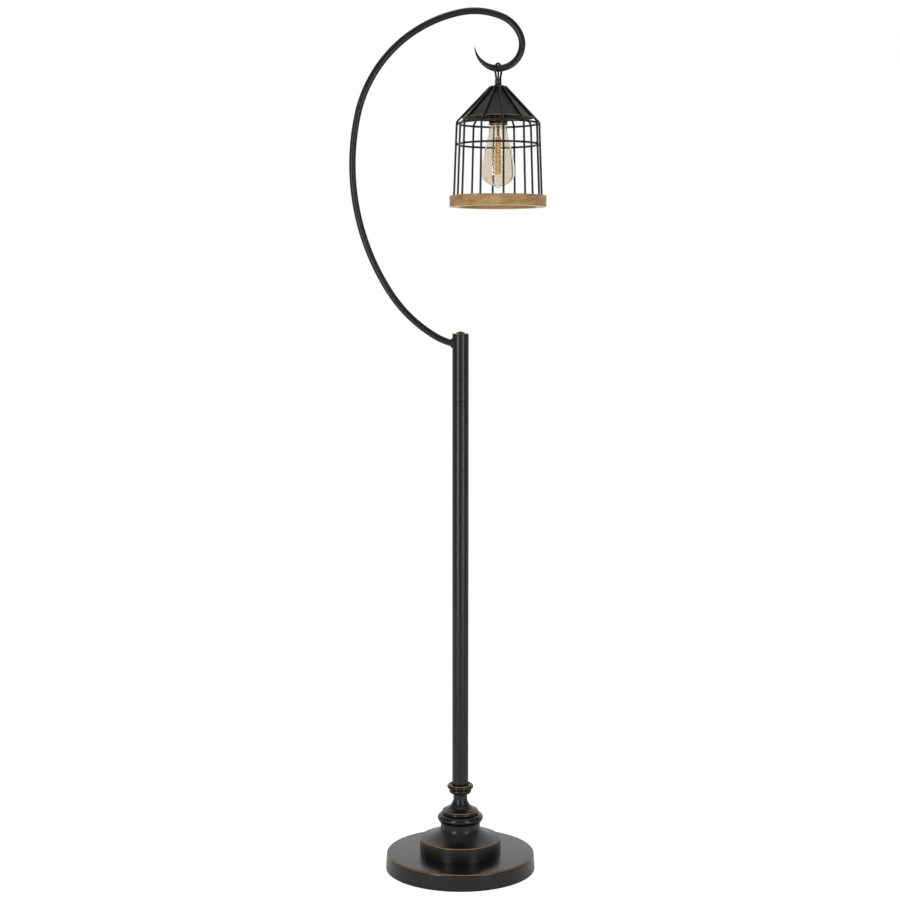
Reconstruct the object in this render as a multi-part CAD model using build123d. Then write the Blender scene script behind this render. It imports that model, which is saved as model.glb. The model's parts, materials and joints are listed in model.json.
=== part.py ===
from build123d import *
import math
import os
from dataclasses import dataclass

# Floor lamp: a round weighted foot and a turned neck carry a post, a bowed arm with a
# hook at its end is welded to the post's head, and a wire cage with a wooden ring and
# a bare bulb hangs from the hook by a forged loop.
# Millimetres, +Z up. The origin is the centre of the foot's underside, on the post's
# axis. The arm lies in the XZ plane and the cage hangs on the +X side.

# ---------------------------------------------------------------- fits and gaps
RUNNING_GAP = 0.05          # radial clearance of a turning or screwed fit
SLIP_GAP = 0.3              # clearance between pieces of different moving bodies
CORE_GAP = 0.5              # clearance round a rod in a cast hole

# ---------------------------------------------------------------- foot
PAD_THICKNESS = 3.0
PAD_RADIUS = 141.0
FOOT_RADIUS = 146.0         # at the cover's lower edge
FOOT_TOP_INSET = 1.5        # how much smaller the cover's top edge is
FOOT_HEIGHT = 33.0
FOOT_EDGE_RADIUS = 4.0
COVER_WALL = 1.6
COVER_LIFT = 1.0            # cover's lower edge above the floor
WEIGHT_RADIUS = 139.0
WEIGHT_PLATE = 12.0
WEIGHT_HUB_RADIUS = 45.0
NUT_POCKET_RADIUS = 24.0
NUT_POCKET_WEB = 7.4        # iron left above the nut pocket
WASHER_RADIUS = 20.0
WASHER_THICKNESS = 2.0
BASE_NUT_FLATS = 27.0
BASE_NUT_HEIGHT = 7.0
PIPE_RADIUS = 8.0
PIPE_BORE_RADIUS = 5.0
PIPE_TAIL = 1.0             # pipe showing below the base nut
PIPE_ENGAGEMENT = 22.0      # pipe length screwed into the post's foot plug

# ---------------------------------------------------------------- bell, bead, neck, cup
BELL_RADIUS = 79.0
BELL_BAND_HEIGHT = 28.3
BELL_EDGE_RADIUS = 2.6
BELL_RISE = 31.7            # from the band's top to the bell's crown
BELL_COLLAR_HEIGHT = 14.4
BELL_CROWN_RADIUS = 38.6
BELL_FLANK_SAG = 2.6        # hollow of the flank below its chord
BELL_COLLAR_BEND = 12.0     # bend from the flank up into the collar
BELL_WALL = 4.0
BELL_DECK = 6.0
BEAD_RADIUS = 44.6
BEAD_HEIGHT = 15.8
BEAD_GROOVE = 7.8           # how far the bead stands out from its flanks
NECK_FOOT_RADIUS = 34.4
NECK_FOOT_BULGE = 1.6
NECK_FOOT_HEIGHT = 6.2
SHOULDER_RADIUS = 35.0
SHOULDER_LIP = 1.3
SHOULDER_DOME_RADIUS = 26.4
SHOULDER_DOME_RISE = 3.9
SHOULDER_DOME_SAG = 0.3
NECK_WAIST_RADIUS = 13.7
NECK_FLARE_RISE = 22.0
NECK_FLARE_SAG = 3.7        # hollow of the flare below its chord
NECK_WAIST_HEIGHT = 6.3
COLLAR_BEAD_RADIUS = 21.9
COLLAR_BEAD_BEND = 6.0      # the bead's own radius; its top is cut off by the cup
COLLAR_BEAD_HEIGHT = 10.0
CUP_RADIUS = 25.8
CUP_HEIGHT = 8.9
CUP_WIDEST = 4.7            # widest place above the cup's foot
CUP_FOOT_RADIUS = 22.4
CUP_RIM_RADIUS = 24.2
CUP_RIM_DROP = 1.6
CUP_RIM_CHAMFER = 1.7       # how far the rim's top edge is set in
CUP_RIM_FLAT = 1.0          # width of the rim's flat top
CUP_FLOOR = 4.0
CUP_DISH_RADIUS = 18.0
CUP_DISH_DEPTH = 3.0

# ---------------------------------------------------------------- post
POST_RADIUS = 15.875
POST_WALL = 1.5
LOWER_TUBE_LENGTH = 755.5
UPPER_TUBE_LENGTH = 126.8
FOOT_PLUG_LENGTH = 28.0
JOINT_PLUG_LENGTH = 20.0
STUD_RADIUS = 8.0
STUD_BORE_RADIUS = 5.0
STUD_LENGTH = 30.0
CAP_THICKNESS = 2.6
CAP_EDGE_RADIUS = 0.9
CAP_SPIGOT_LENGTH = 14.0
CAP_SCREW_RADIUS = 3.0
CAP_SCREW_LENGTH = 11.0
CAP_HEAD_FLATS = 14.0
CAP_HEAD_HEIGHT = 2.6
CAP_CROWN_RADIUS = 4.2
CAP_CROWN_HEIGHT = 1.6
CAP_CROWN_SAG = 0.32

# ---------------------------------------------------------------- arm and hook
ARM_RADIUS = 6.35
ARM_WALL = 1.6
ARM_DROP = 18.7             # arm axis at the post's wall, below the post's head
ARM_START_HEADING = 165.4   # degrees from +X towards +Z, leaving the post
ARM_BENDS = [               # (bend radius, clockwise turn in degrees)
    (125.2, 16.6),
    (266.3, 26.1),
    (441.3, 45.0),
    (249.7, 66.3),
    (134.2, 33.7),
    (65.9, 41.8),
]
HOOK_RADIUS = 44.8
HOOK_TIP_RISE = 84.0        # degrees of hook beyond its lowest point
HOOK_TAPER_START = 12.0     # degrees beyond the lowest point where the taper begins
HOOK_POINT_RADIUS = 0.6
ARM_ROOT_DEPTH = 6.0        # arm reaching past the post's wall before it is coped
WELD_SIZE = 2.6
WELD_LENGTH = 4.2
WELD_TOE = 0.2              # bead left on the arm at the weld's far end

# ---------------------------------------------------------------- lead held by the lamp
LEAD_RADIUS = 1.7
LEAD_BEND_RADIUS = 12.0
LEAD_EXIT_RADIUS = 3.6
LEAD_CHANNEL_HEIGHT = 7.5   # lead axis above the floor, inside the foot
LEAD_CHANNEL_WIDTH = 9.0
LEAD_CHANNEL_DEPTH = 8.5
GROMMET_RADIUS = 4.2
GROMMET_FLANGE_RADIUS = 6.0
GROMMET_FLANGE = 1.4
GROMMET_SINK = 0.5          # flange stock that the curved wall shapes
GROMMET_BARB = 0.8          # how far the inner flange stands out behind the wall
GROMMET_CHAMFER = 0.6
BUSH_RADIUS = 2.7
LEAD_SLIDE_GAP = 0.15

# ---------------------------------------------------------------- hanger loop
LOOP_WIRE_RADIUS = 2.0
LOOP_SEAT_GAP = 0.7         # loop's crown above the hook; its turned sides come to 0.3
LOOP_ARCH_RADIUS = 11.5
LOOP_TAPER_ANGLE = 17.0
LOOP_LEG_SPACING = 13.6     # between leg axes at the hub's top
LOOP_LEG_SINK = 8.6         # leg length forged into the hub's sides
LOOP_YAW = 34.0             # loop plane, turned from square to the hook's wire
HUB_RADIUS = 6.35
HUB_LENGTH = 10.65
HUB_CHAMFER = 1.0
NIPPLE_RADIUS = 4.8
NIPPLE_BORE_RADIUS = 3.2
NIPPLE_GRIP = 6.3           # nipple length inside the hub
CLAMP_RING_HEIGHT = 2.6
CLAMP_RING_BAND = 0.8       # straight band below the taper
CLAMP_RING_FOOT_RADIUS = 9.5
CLAMP_RING_TOP_RADIUS = 7.2

# ---------------------------------------------------------------- cage
WIRE_COUNT = 12
WIRE_YAW = 5.5              # first wire, degrees from -Y towards +X
WIRE_RADIUS = 2.0
CAGE_FOOT_RADIUS = 83.9     # wire circle at the wooden ring's top
CAGE_SHOULDER_RADIUS = 78.65
CAGE_WALL_HEIGHT = 137.8    # ring's top to the shoulder bend
CAGE_ROOF_ANGLE = 46.1
SHOULDER_BEND_RADIUS = 6.0
WIRE_SEAT_DEPTH = 14.0
CAP_PLATE_RADIUS = 13.5
CAP_PLATE_THICKNESS = 2.5
MID_HOOP_HEIGHT = 96.4      # above the wooden ring's top
SHOULDER_HOOP_DROP = 2.3    # below the corner of the wires' axes
WELD_SINK = 0.25            # how deep a welded wire sinks into its neighbour
CONE_SINK = 0.05            # how deep the roof wires press into the cone
CONE_WALL = 1.0
CONE_RIM_RADIUS = 68.5
LOCK_NUT_FLATS = 15.0
LOCK_NUT_HEIGHT = 4.0
RING_WIDTH = 17.0
RING_LEDGE = 8.1            # ring's outside beyond the wire circle
RING_HEIGHT = 21.4
RING_EDGE_RADIUS = 1.2

# ---------------------------------------------------------------- socket and bulb
SOCKET_CAP_RADIUS = 16.4
SOCKET_CAP_HEIGHT = 18.0
SOCKET_CAP_ROUND = 5.0
SOCKET_WALL = 0.8
SOCKET_LAP = 6.0            # how far the shell laps over the socket cap
SOCKET_SHELL_LENGTH = 52.6
SOCKET_RIM_RADIUS = 18.4
SOCKET_LIP = 2.2
SOCKET_LIP_FLARE = 1.0      # height of the slope above the lip
THREAD_SHELL_LEDGE = 2.0    # thread shell's head inside its wall, clear of the contact
LINER_WALL = 0.9
BLOCK_HEIGHT = 22.0
THREAD_SHELL_RADIUS = 14.2
THREAD_SHELL_WALL = 0.6
THREAD_SHELL_LENGTH = 20.0
CONTACT_RADIUS = 4.4
CONTACT_HEIGHT = 1.2
BULB_CAP_RADIUS = 13.1
BULB_THREAD_PITCH = 3.63
BULB_THREAD_DEPTH = 0.7
BULB_CAP_WALL = 0.6
BULB_TIP_RADIUS = 4.8
BULB_TIP_HEIGHT = 2.4
BULB_TIP_CHAMFER = 0.6
BULB_TIP_CROWN = 0.3
BULB_HEAD_LEDGE = 2.0       # insulator showing round the tip
BULB_HEAD_SLOPE = 3.0       # height of the slope from the thread to the insulator
BULB_HEAD_TURN = 1.0        # inside corner of the slope
BULB_CAP_PLAIN = 4.0        # least plain band below the thread
BULB_THREAD_RUNOUT = 1.2
BULB_LENGTH = 142.0
GLASS_RADIUS = 32.0
GLASS_NECK_RADIUS = 17.0
GLASS_WALL = 0.9
GLASS_PIP_RADIUS = 7.5
GLASS_PIP_HEIGHT = 3.6      # pip below the dome
GLASS_DOME_HEIGHT = 24.5    # dome's foot to the widest place
GLASS_SIDE_BEND = 20.0
GLASS_TAPER_ANGLE = 12.5
GLASS_THROAT_BEND = 60.0
GLASS_LENGTH = 116.0        # pip's end to the neck's top
GLASS_CROWN = 1.6           # how far the neck's end turns in and up to the cap
STEM_RADIUS = 2.6
STEM_ROD_RADIUS = 1.2
STEM_NECK = 3.0             # taper from the rod to the stem
STEM_FLARE = 4.0            # height of the flare below the stem's seat
STEM_FLARE_SAG = 1.6
STEM_PRESS = 2.0            # pressed disc above the seat
FILAMENT_DROP = 21.0        # filaments' top below the neck's top
FILAMENT_COUNT = 6
FILAMENT_RADIUS = 1.1
FILAMENT_LENGTH = 69.0
FILAMENT_CIRCLE_RADIUS = 4.4
FRAME_THICKNESS = 1.0

# ---------------------------------------------------------------- derived levels
COVER_DECK = FOOT_HEIGHT - COVER_WALL
POCKET_ROOF = COVER_DECK - NUT_POCKET_WEB
WASHER_BOTTOM = POCKET_ROOF - WASHER_THICKNESS
NUT_BOTTOM = WASHER_BOTTOM - BASE_NUT_HEIGHT
PIPE_BOTTOM = NUT_BOTTOM - PIPE_TAIL
BELL_BAND_TOP = FOOT_HEIGHT + BELL_BAND_HEIGHT
BELL_TOP = BELL_BAND_TOP + BELL_RISE
BEAD_TOP = BELL_TOP + BEAD_HEIGHT
SHOULDER_BOTTOM = BEAD_TOP + NECK_FOOT_HEIGHT
WAIST_BOTTOM = SHOULDER_BOTTOM + SHOULDER_LIP + SHOULDER_DOME_RISE + NECK_FLARE_RISE
COLLAR_BOTTOM = WAIST_BOTTOM + NECK_WAIST_HEIGHT
NECK_TOP = COLLAR_BOTTOM + COLLAR_BEAD_HEIGHT
POST_BOTTOM = NECK_TOP + CUP_FLOOR
POST_BORE_RADIUS = POST_RADIUS - POST_WALL
PIPE_TOP = POST_BOTTOM + PIPE_ENGAGEMENT
POST_SEAM = POST_BOTTOM + LOWER_TUBE_LENGTH
UPPER_TUBE_TOP = POST_SEAM + UPPER_TUBE_LENGTH
POST_TOP = UPPER_TUBE_TOP + CAP_THICKNESS


@dataclass(frozen=True)
class ArmPoint:
    """A place on the arm's axis: x and z, and the heading there in degrees."""

    x: float
    z: float
    heading: float


def bend(start, radius, turn):
    """Follow a clockwise arc from start and return its middle and its end."""
    places = []
    for part in (turn / 2, turn):
        old = math.radians(start.heading)
        new = math.radians(start.heading - part)
        x = start.x + radius * (math.sin(old) - math.sin(new))
        z = start.z - radius * (math.cos(old) - math.cos(new))
        places.append(ArmPoint(x, z, start.heading - part))
    return places


ARM_START = ArmPoint(-POST_RADIUS, POST_TOP - ARM_DROP, ARM_START_HEADING)
HOOK_START = ARM_START
for bend_radius, bend_turn in ARM_BENDS:
    HOOK_START = bend(HOOK_START, bend_radius, bend_turn)[1]
HOOK_LOW_TURN = HOOK_START.heading + 180.0
HOOK_LOW = bend(HOOK_START, HOOK_RADIUS, HOOK_LOW_TURN)[1]

HANG_X = HOOK_LOW.x
ARCH_CENTRE = HOOK_LOW.z + ARM_RADIUS + LOOP_SEAT_GAP + LOOP_WIRE_RADIUS - LOOP_ARCH_RADIUS
TAPER = math.radians(LOOP_TAPER_ANGLE)
LEG_RUN = (LOOP_ARCH_RADIUS * math.cos(TAPER) - LOOP_LEG_SPACING / 2) / math.sin(TAPER)
HUB_TOP = ARCH_CENTRE - LOOP_ARCH_RADIUS * math.sin(TAPER) - LEG_RUN * math.cos(TAPER)
HUB_BOTTOM = HUB_TOP - HUB_LENGTH
CLAMP_RING_TOP = HUB_BOTTOM - SLIP_GAP
CAGE_TOP = CLAMP_RING_TOP - CLAMP_RING_HEIGHT
ROOF_TAN = math.tan(math.radians(CAGE_ROOF_ANGLE))
ROOF_COS = math.cos(math.radians(CAGE_ROOF_ANGLE))
ROOF_SIN = math.sin(math.radians(CAGE_ROOF_ANGLE))
CONE_TOP = CAGE_TOP - CAP_PLATE_THICKNESS
# The roof wires rest on the cone and end at the cap plate's edge.
ROOF_TOP_RADIUS = CAP_PLATE_RADIUS + (WIRE_RADIUS - CONE_SINK) / ROOF_SIN
WIRE_END_RADIUS = CAP_PLATE_RADIUS + WIRE_RADIUS * ROOF_SIN - WELD_SINK
WIRE_END = CONE_TOP + (ROOF_TOP_RADIUS - WIRE_END_RADIUS) * ROOF_TAN
CAGE_SHOULDER = CONE_TOP - (CAGE_SHOULDER_RADIUS - ROOF_TOP_RADIUS) * ROOF_TAN
RING_TOP = CAGE_SHOULDER - CAGE_WALL_HEIGHT
RING_BOTTOM = RING_TOP - RING_HEIGHT
RING_RADIUS = CAGE_FOOT_RADIUS + RING_LEDGE
RING_BORE_RADIUS = RING_RADIUS - RING_WIDTH
WALL_LEAN = (CAGE_FOOT_RADIUS - CAGE_SHOULDER_RADIUS) / CAGE_WALL_HEIGHT
NUT_TOP = CONE_TOP - CONE_WALL
SOCKET_TOP = NUT_TOP - LOCK_NUT_HEIGHT
SHELL_TOP = SOCKET_TOP - SOCKET_CAP_HEIGHT + SOCKET_LAP
SHELL_BOTTOM = SHELL_TOP - SOCKET_SHELL_LENGTH
SHELL_BORE_RADIUS = SOCKET_CAP_RADIUS + RUNNING_GAP
BLOCK_RADIUS = SHELL_BORE_RADIUS - 2 * RUNNING_GAP - LINER_WALL
BLOCK_TOP = SOCKET_TOP - SOCKET_CAP_HEIGHT
BLOCK_BOTTOM = BLOCK_TOP - BLOCK_HEIGHT
NIPPLE_TOP = HUB_BOTTOM + NIPPLE_GRIP
NIPPLE_BOTTOM = SOCKET_TOP - 4 * SOCKET_WALL
BULB_TOP = BLOCK_BOTTOM - CONTACT_HEIGHT - SLIP_GAP
BULB_BOTTOM = BULB_TOP - BULB_LENGTH
BULB_CAP_TOP = BULB_TOP - BULB_TIP_HEIGHT
GLASS_TOP = BULB_BOTTOM + GLASS_LENGTH
FILAMENT_TOP = GLASS_TOP - FILAMENT_DROP


# ---------------------------------------------------------------- makers
def edges_from(start, steps):
    """Join lines and three-point arcs: a step is a point, or (middle, end) of an arc."""
    edges = []
    here = start
    for step in steps:
        if isinstance(step[0], tuple):
            middle, end = step
            edges.append(ThreePointArc(here, middle, end))
        else:
            end = step
            edges.append(Line(here, end))
        here = end
    return edges


def turned(start, *steps, x=0.0):
    """Turn a closed (radius, height) profile about the upright axis at x."""
    edges = edges_from(start, steps) + [Line(last_point(steps), start)]
    face = Plane.XZ * make_face(Wire(edges))
    return Pos(x, 0, 0) * revolve(face, Axis.Z)


def last_point(steps):
    """Return the end point of the last step."""
    return steps[-1][1] if isinstance(steps[-1][0], tuple) else steps[-1]


def arc_middle(start, end, sagitta):
    """Return an arc's middle; a positive sagitta bulges to the right of start-end."""
    run, rise = end[0] - start[0], end[1] - start[1]
    length = math.hypot(run, rise)
    x = (start[0] + end[0]) / 2 + sagitta * rise / length
    z = (start[1] + end[1]) / 2 - sagitta * run / length
    return (x, z)


def polar(centre, radius, angle):
    """Return the point of a circle at an angle in radians."""
    return (centre[0] + radius * math.cos(angle), centre[1] + radius * math.sin(angle))


def tube(outer, inner, bottom, top, x=0.0):
    """Return an upright tube."""
    return turned((inner, bottom), (outer, bottom), (outer, top), (inner, top), x=x)


def hex_nut(flats, bore, bottom, height, x=0.0):
    """Return a hexagon nut with its corners chamfered on both faces."""
    corner = flats / math.sqrt(3)
    chamfer = corner - flats / 2
    slope = chamfer * math.tan(math.radians(30))
    prism = extrude(RegularPolygon(flats / 2, 6, major_radius=False), height)
    envelope = turned(
        (bore, 0), (flats / 2, 0), (corner, slope),
        (corner, height - slope), (flats / 2, height), (bore, height),
    )
    return Pos(x, 0, bottom) * (prism & envelope)


def arm_edges(start, bends):
    """Return the arcs that follow start through a list of (radius, turn)."""
    edges = []
    here = start
    for radius, turn in bends:
        middle, end = bend(here, radius, turn)
        edges.append(ThreePointArc((here.x, 0, here.z), (middle.x, 0, middle.z), (end.x, 0, end.z)))
        here = end
    return edges


def heading_vector(heading):
    """Return the direction of a heading in the arm's plane."""
    angle = math.radians(heading)
    return Vector(math.cos(angle), 0, math.sin(angle))


def section_plane(place):
    """Return the plane square to the arm's axis at a place."""
    return Plane(origin=(place.x, 0, place.z), x_dir=(0, 1, 0), z_dir=heading_vector(place.heading))


# ---------------------------------------------------------------- foot
def base_pad():
    """Felt disc that the lamp stands on."""
    return turned((0, 0), (PAD_RADIUS, 0), (PAD_RADIUS, PAD_THICKNESS), (0, PAD_THICKNESS))


def base_weight():
    """Iron plate with a hub, a nut pocket and a lead channel in its underside."""
    body = turned(
        (PIPE_RADIUS + CORE_GAP, PAD_THICKNESS),
        (WEIGHT_RADIUS, PAD_THICKNESS),
        (WEIGHT_RADIUS, PAD_THICKNESS + WEIGHT_PLATE),
        (WEIGHT_HUB_RADIUS, PAD_THICKNESS + WEIGHT_PLATE),
        (WEIGHT_HUB_RADIUS, COVER_DECK),
        (PIPE_RADIUS + CORE_GAP, COVER_DECK),
    )
    pocket = Pos(0, 0, PAD_THICKNESS) * Cylinder(
        NUT_POCKET_RADIUS, POCKET_ROOF - PAD_THICKNESS, align=(Align.CENTER, Align.CENTER, Align.MIN))
    channel = Pos(0, 0, PAD_THICKNESS) * Box(
        LEAD_CHANNEL_WIDTH, WEIGHT_RADIUS + CORE_GAP, LEAD_CHANNEL_DEPTH,
        align=(Align.CENTER, Align.MIN, Align.MIN))
    return body - pocket - channel


def cover_radius(height):
    """Return the cover's outer radius at a height above the floor."""
    return FOOT_RADIUS - FOOT_TOP_INSET * height / FOOT_HEIGHT


def base_cover():
    """Spun shell over the weight, with a rounded edge and a hole for the grommet."""
    low = cover_radius(COVER_LIFT)
    high = cover_radius(FOOT_HEIGHT)
    edge = FOOT_EDGE_RADIUS
    lean = math.sqrt(0.5)
    inner_edge = edge - COVER_WALL
    shell = turned(
        (low, COVER_LIFT),
        (high, FOOT_HEIGHT - edge),
        ((high - edge + edge * lean, FOOT_HEIGHT - edge + edge * lean), (high - edge, FOOT_HEIGHT)),
        (PIPE_RADIUS + CORE_GAP, FOOT_HEIGHT),
        (PIPE_RADIUS + CORE_GAP, COVER_DECK),
        (high - edge, COVER_DECK),
        ((high - edge + inner_edge * lean, FOOT_HEIGHT - edge + inner_edge * lean),
         (high - COVER_WALL, FOOT_HEIGHT - edge)),
        (low - COVER_WALL, COVER_LIFT),
    )
    return shell - grommet_hole()


def grommet_hole():
    """Drill for the grommet's barrel through the cover's rear wall."""
    drill = Cylinder(GROMMET_RADIUS + RUNNING_GAP, 4 * COVER_WALL)
    return Pos(0, cover_radius(LEAD_CHANNEL_HEIGHT), LEAD_CHANNEL_HEIGHT) * Rot(90, 0, 0) * drill


def cord_grommet():
    """Bush that guards the lead's way through the cover's rear wall."""
    bore = LEAD_RADIUS + LEAD_SLIDE_GAP
    inner_flange = -COVER_WALL - GROMMET_FLANGE
    body = turned(
        (bore, inner_flange),
        (GROMMET_RADIUS + GROMMET_BARB, inner_flange),
        (GROMMET_RADIUS + GROMMET_BARB, -COVER_WALL / 2),
        (GROMMET_RADIUS, -COVER_WALL / 2),
        (GROMMET_RADIUS, -GROMMET_SINK),
        (GROMMET_FLANGE_RADIUS, -GROMMET_SINK),
        (GROMMET_FLANGE_RADIUS - GROMMET_CHAMFER, GROMMET_FLANGE),
        (bore, GROMMET_FLANGE),
    )
    outside = cover_radius(LEAD_CHANNEL_HEIGHT)
    return Pos(0, outside, LEAD_CHANNEL_HEIGHT) * Rot(-90, 0, 0) * body - base_cover()


def base_washer():
    """Plain washer under the base nut."""
    return tube(WASHER_RADIUS, PIPE_RADIUS + CORE_GAP, WASHER_BOTTOM, POCKET_ROOF)


def base_nut():
    """Nut that draws the stack down onto the weight."""
    return hex_nut(BASE_NUT_FLATS, PIPE_RADIUS + RUNNING_GAP, NUT_BOTTOM, BASE_NUT_HEIGHT)


def centre_pipe():
    """Threaded pipe that ties foot, bell, bead, neck and cup to the post."""
    return tube(PIPE_RADIUS, PIPE_BORE_RADIUS, PIPE_BOTTOM, PIPE_TOP)


# ---------------------------------------------------------------- turned stack
def bell_flank(band_top, crown):
    """Return the flank's hollow arc and the bend that turns it up into the collar."""
    chord = math.dist(band_top, crown)
    radius = (chord ** 2 / 4 + BELL_FLANK_SAG ** 2) / (2 * BELL_FLANK_SAG)
    centre = arc_middle(band_top, crown, radius - BELL_FLANK_SAG)
    bend_x = crown[0] + BELL_COLLAR_BEND
    drop = math.sqrt((radius - BELL_COLLAR_BEND) ** 2 - (bend_x - centre[0]) ** 2)
    bend_centre = (bend_x, centre[1] - drop)
    start = math.atan2(band_top[1] - centre[1], band_top[0] - centre[0])
    join = math.atan2(bend_centre[1] - centre[1], bend_centre[0] - centre[0])
    return [
        (polar(centre, radius, (start + join) / 2), polar(centre, radius, join)),
        (polar(bend_centre, BELL_COLLAR_BEND, (join - math.pi) / 2), (crown[0], bend_centre[1])),
    ]


def base_bell():
    """Hollow bell with an upright band, a concave flank and a flat deck."""
    band_top = (BELL_RADIUS - BELL_EDGE_RADIUS, BELL_BAND_TOP)
    crown = (BELL_CROWN_RADIUS, BELL_TOP - BELL_COLLAR_HEIGHT)
    lean = math.sqrt(0.5)
    edge_centre = (BELL_RADIUS - BELL_EDGE_RADIUS, BELL_BAND_TOP - BELL_EDGE_RADIUS)
    edge_middle = (edge_centre[0] + BELL_EDGE_RADIUS * lean, edge_centre[1] + BELL_EDGE_RADIUS * lean)
    inner_band = (BELL_RADIUS - BELL_WALL, BELL_BAND_TOP - BELL_WALL)
    inner_crown = (BELL_CROWN_RADIUS - BELL_WALL, crown[1] - BELL_WALL * lean)
    return turned(
        (BELL_RADIUS - BELL_WALL, FOOT_HEIGHT),
        (BELL_RADIUS, FOOT_HEIGHT),
        (BELL_RADIUS, BELL_BAND_TOP - BELL_EDGE_RADIUS),
        (edge_middle, band_top),
        *bell_flank(band_top, crown),
        (BELL_CROWN_RADIUS, BELL_TOP),
        (PIPE_RADIUS + CORE_GAP, BELL_TOP),
        (PIPE_RADIUS + CORE_GAP, BELL_TOP - BELL_DECK),
        (inner_crown[0], BELL_TOP - BELL_DECK),
        inner_crown,
        (arc_middle(inner_crown, inner_band, BELL_FLANK_SAG), inner_band),
    )


def torus_ring():
    """Turned ring with one large bead round its edge."""
    flank = BEAD_RADIUS - BEAD_GROOVE
    middle = (BEAD_RADIUS, BELL_TOP + BEAD_HEIGHT / 2)
    return turned(
        (PIPE_RADIUS + CORE_GAP, BELL_TOP),
        (flank, BELL_TOP),
        (middle, (flank, BEAD_TOP)),
        (PIPE_RADIUS + CORE_GAP, BEAD_TOP),
    )


def neck_spindle():
    """Turned neck: lipped shoulder, low dome, long flare, waist and a second bead."""
    lip_top = SHOULDER_BOTTOM + SHOULDER_LIP
    dome_top = (SHOULDER_DOME_RADIUS, lip_top + SHOULDER_DOME_RISE)
    waist = (NECK_WAIST_RADIUS, WAIST_BOTTOM)
    foot_middle = (NECK_FOOT_RADIUS + NECK_FOOT_BULGE, (BEAD_TOP + SHOULDER_BOTTOM) / 2)
    bead_rise = COLLAR_BEAD_HEIGHT - COLLAR_BEAD_BEND
    bead_foot = COLLAR_BEAD_RADIUS - COLLAR_BEAD_BEND
    bead_head = bead_foot + math.sqrt(COLLAR_BEAD_BEND ** 2 - bead_rise ** 2)
    return turned(
        (PIPE_RADIUS + RUNNING_GAP, BEAD_TOP),
        (NECK_FOOT_RADIUS, BEAD_TOP),
        (foot_middle, (NECK_FOOT_RADIUS, SHOULDER_BOTTOM)),
        (SHOULDER_RADIUS, SHOULDER_BOTTOM),
        (SHOULDER_RADIUS, lip_top),
        (arc_middle((SHOULDER_RADIUS, lip_top), dome_top, SHOULDER_DOME_SAG), dome_top),
        (arc_middle(dome_top, waist, -NECK_FLARE_SAG), waist),
        (NECK_WAIST_RADIUS, COLLAR_BOTTOM),
        (bead_foot, COLLAR_BOTTOM),
        ((COLLAR_BEAD_RADIUS, COLLAR_BOTTOM + COLLAR_BEAD_BEND), (bead_head, NECK_TOP)),
        (PIPE_RADIUS + RUNNING_GAP, NECK_TOP),
    )


def post_cup():
    """Turned cup with a rounded flank and a dished top that seats the post."""
    top = NECK_TOP + CUP_HEIGHT
    rim = (CUP_RIM_RADIUS, top - CUP_RIM_DROP)
    widest = (CUP_RADIUS, NECK_TOP + CUP_WIDEST)
    seat = POST_RADIUS + RUNNING_GAP
    return turned(
        (PIPE_RADIUS + RUNNING_GAP, NECK_TOP),
        (CUP_FOOT_RADIUS, NECK_TOP),
        (widest, rim),
        (CUP_RIM_RADIUS - CUP_RIM_CHAMFER, top),
        (CUP_RIM_RADIUS - CUP_RIM_CHAMFER - CUP_RIM_FLAT, top),
        (CUP_DISH_RADIUS, top - CUP_DISH_DEPTH),
        (seat, top - CUP_DISH_DEPTH),
        (seat, POST_BOTTOM),
        (PIPE_RADIUS + RUNNING_GAP, POST_BOTTOM),
    )


# ---------------------------------------------------------------- post
def post_foot_plug():
    """Plug in the lower tube's foot, screwed onto the centre pipe."""
    return tube(POST_BORE_RADIUS, PIPE_RADIUS + RUNNING_GAP, POST_BOTTOM, POST_BOTTOM + FOOT_PLUG_LENGTH)


def post_lower_tube():
    """Long lower tube of the post."""
    return tube(POST_RADIUS, POST_BORE_RADIUS, POST_BOTTOM, POST_SEAM)


def post_lower_plug():
    """Threaded plug in the lower tube's head."""
    return tube(POST_BORE_RADIUS, STUD_RADIUS + RUNNING_GAP, POST_SEAM - JOINT_PLUG_LENGTH, POST_SEAM)


def post_joint_stud():
    """Hollow stud that screws the two tubes together."""
    return tube(STUD_RADIUS, STUD_BORE_RADIUS, POST_SEAM - STUD_LENGTH / 2, POST_SEAM + STUD_LENGTH / 2)


def post_upper_plug():
    """Threaded plug in the upper tube's foot."""
    return tube(POST_BORE_RADIUS, STUD_RADIUS + RUNNING_GAP, POST_SEAM, POST_SEAM + JOINT_PLUG_LENGTH)


def post_upper_tube():
    """Short upper tube that the arm is welded to, with a hole for the lead."""
    body = tube(POST_RADIUS, POST_BORE_RADIUS, POST_SEAM, UPPER_TUBE_TOP)
    drill = section_plane(ARM_START) * Cylinder(ARM_RADIUS - ARM_WALL, 3 * POST_RADIUS / 2)
    return body - drill


def post_cap():
    """Cap plate with a spigot that closes the post's head."""
    edge = CAP_EDGE_RADIUS
    lean = math.sqrt(0.5)
    corner = (POST_RADIUS - edge, POST_TOP - edge)
    screw = CAP_SCREW_RADIUS + RUNNING_GAP
    return turned(
        (screw, UPPER_TUBE_TOP - CAP_SPIGOT_LENGTH),
        (POST_BORE_RADIUS - RUNNING_GAP, UPPER_TUBE_TOP - CAP_SPIGOT_LENGTH),
        (POST_BORE_RADIUS - RUNNING_GAP, UPPER_TUBE_TOP),
        (POST_RADIUS, UPPER_TUBE_TOP),
        (POST_RADIUS, POST_TOP - edge),
        ((corner[0] + edge * lean, corner[1] + edge * lean), (POST_RADIUS - edge, POST_TOP)),
        (screw, POST_TOP),
    )


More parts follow.
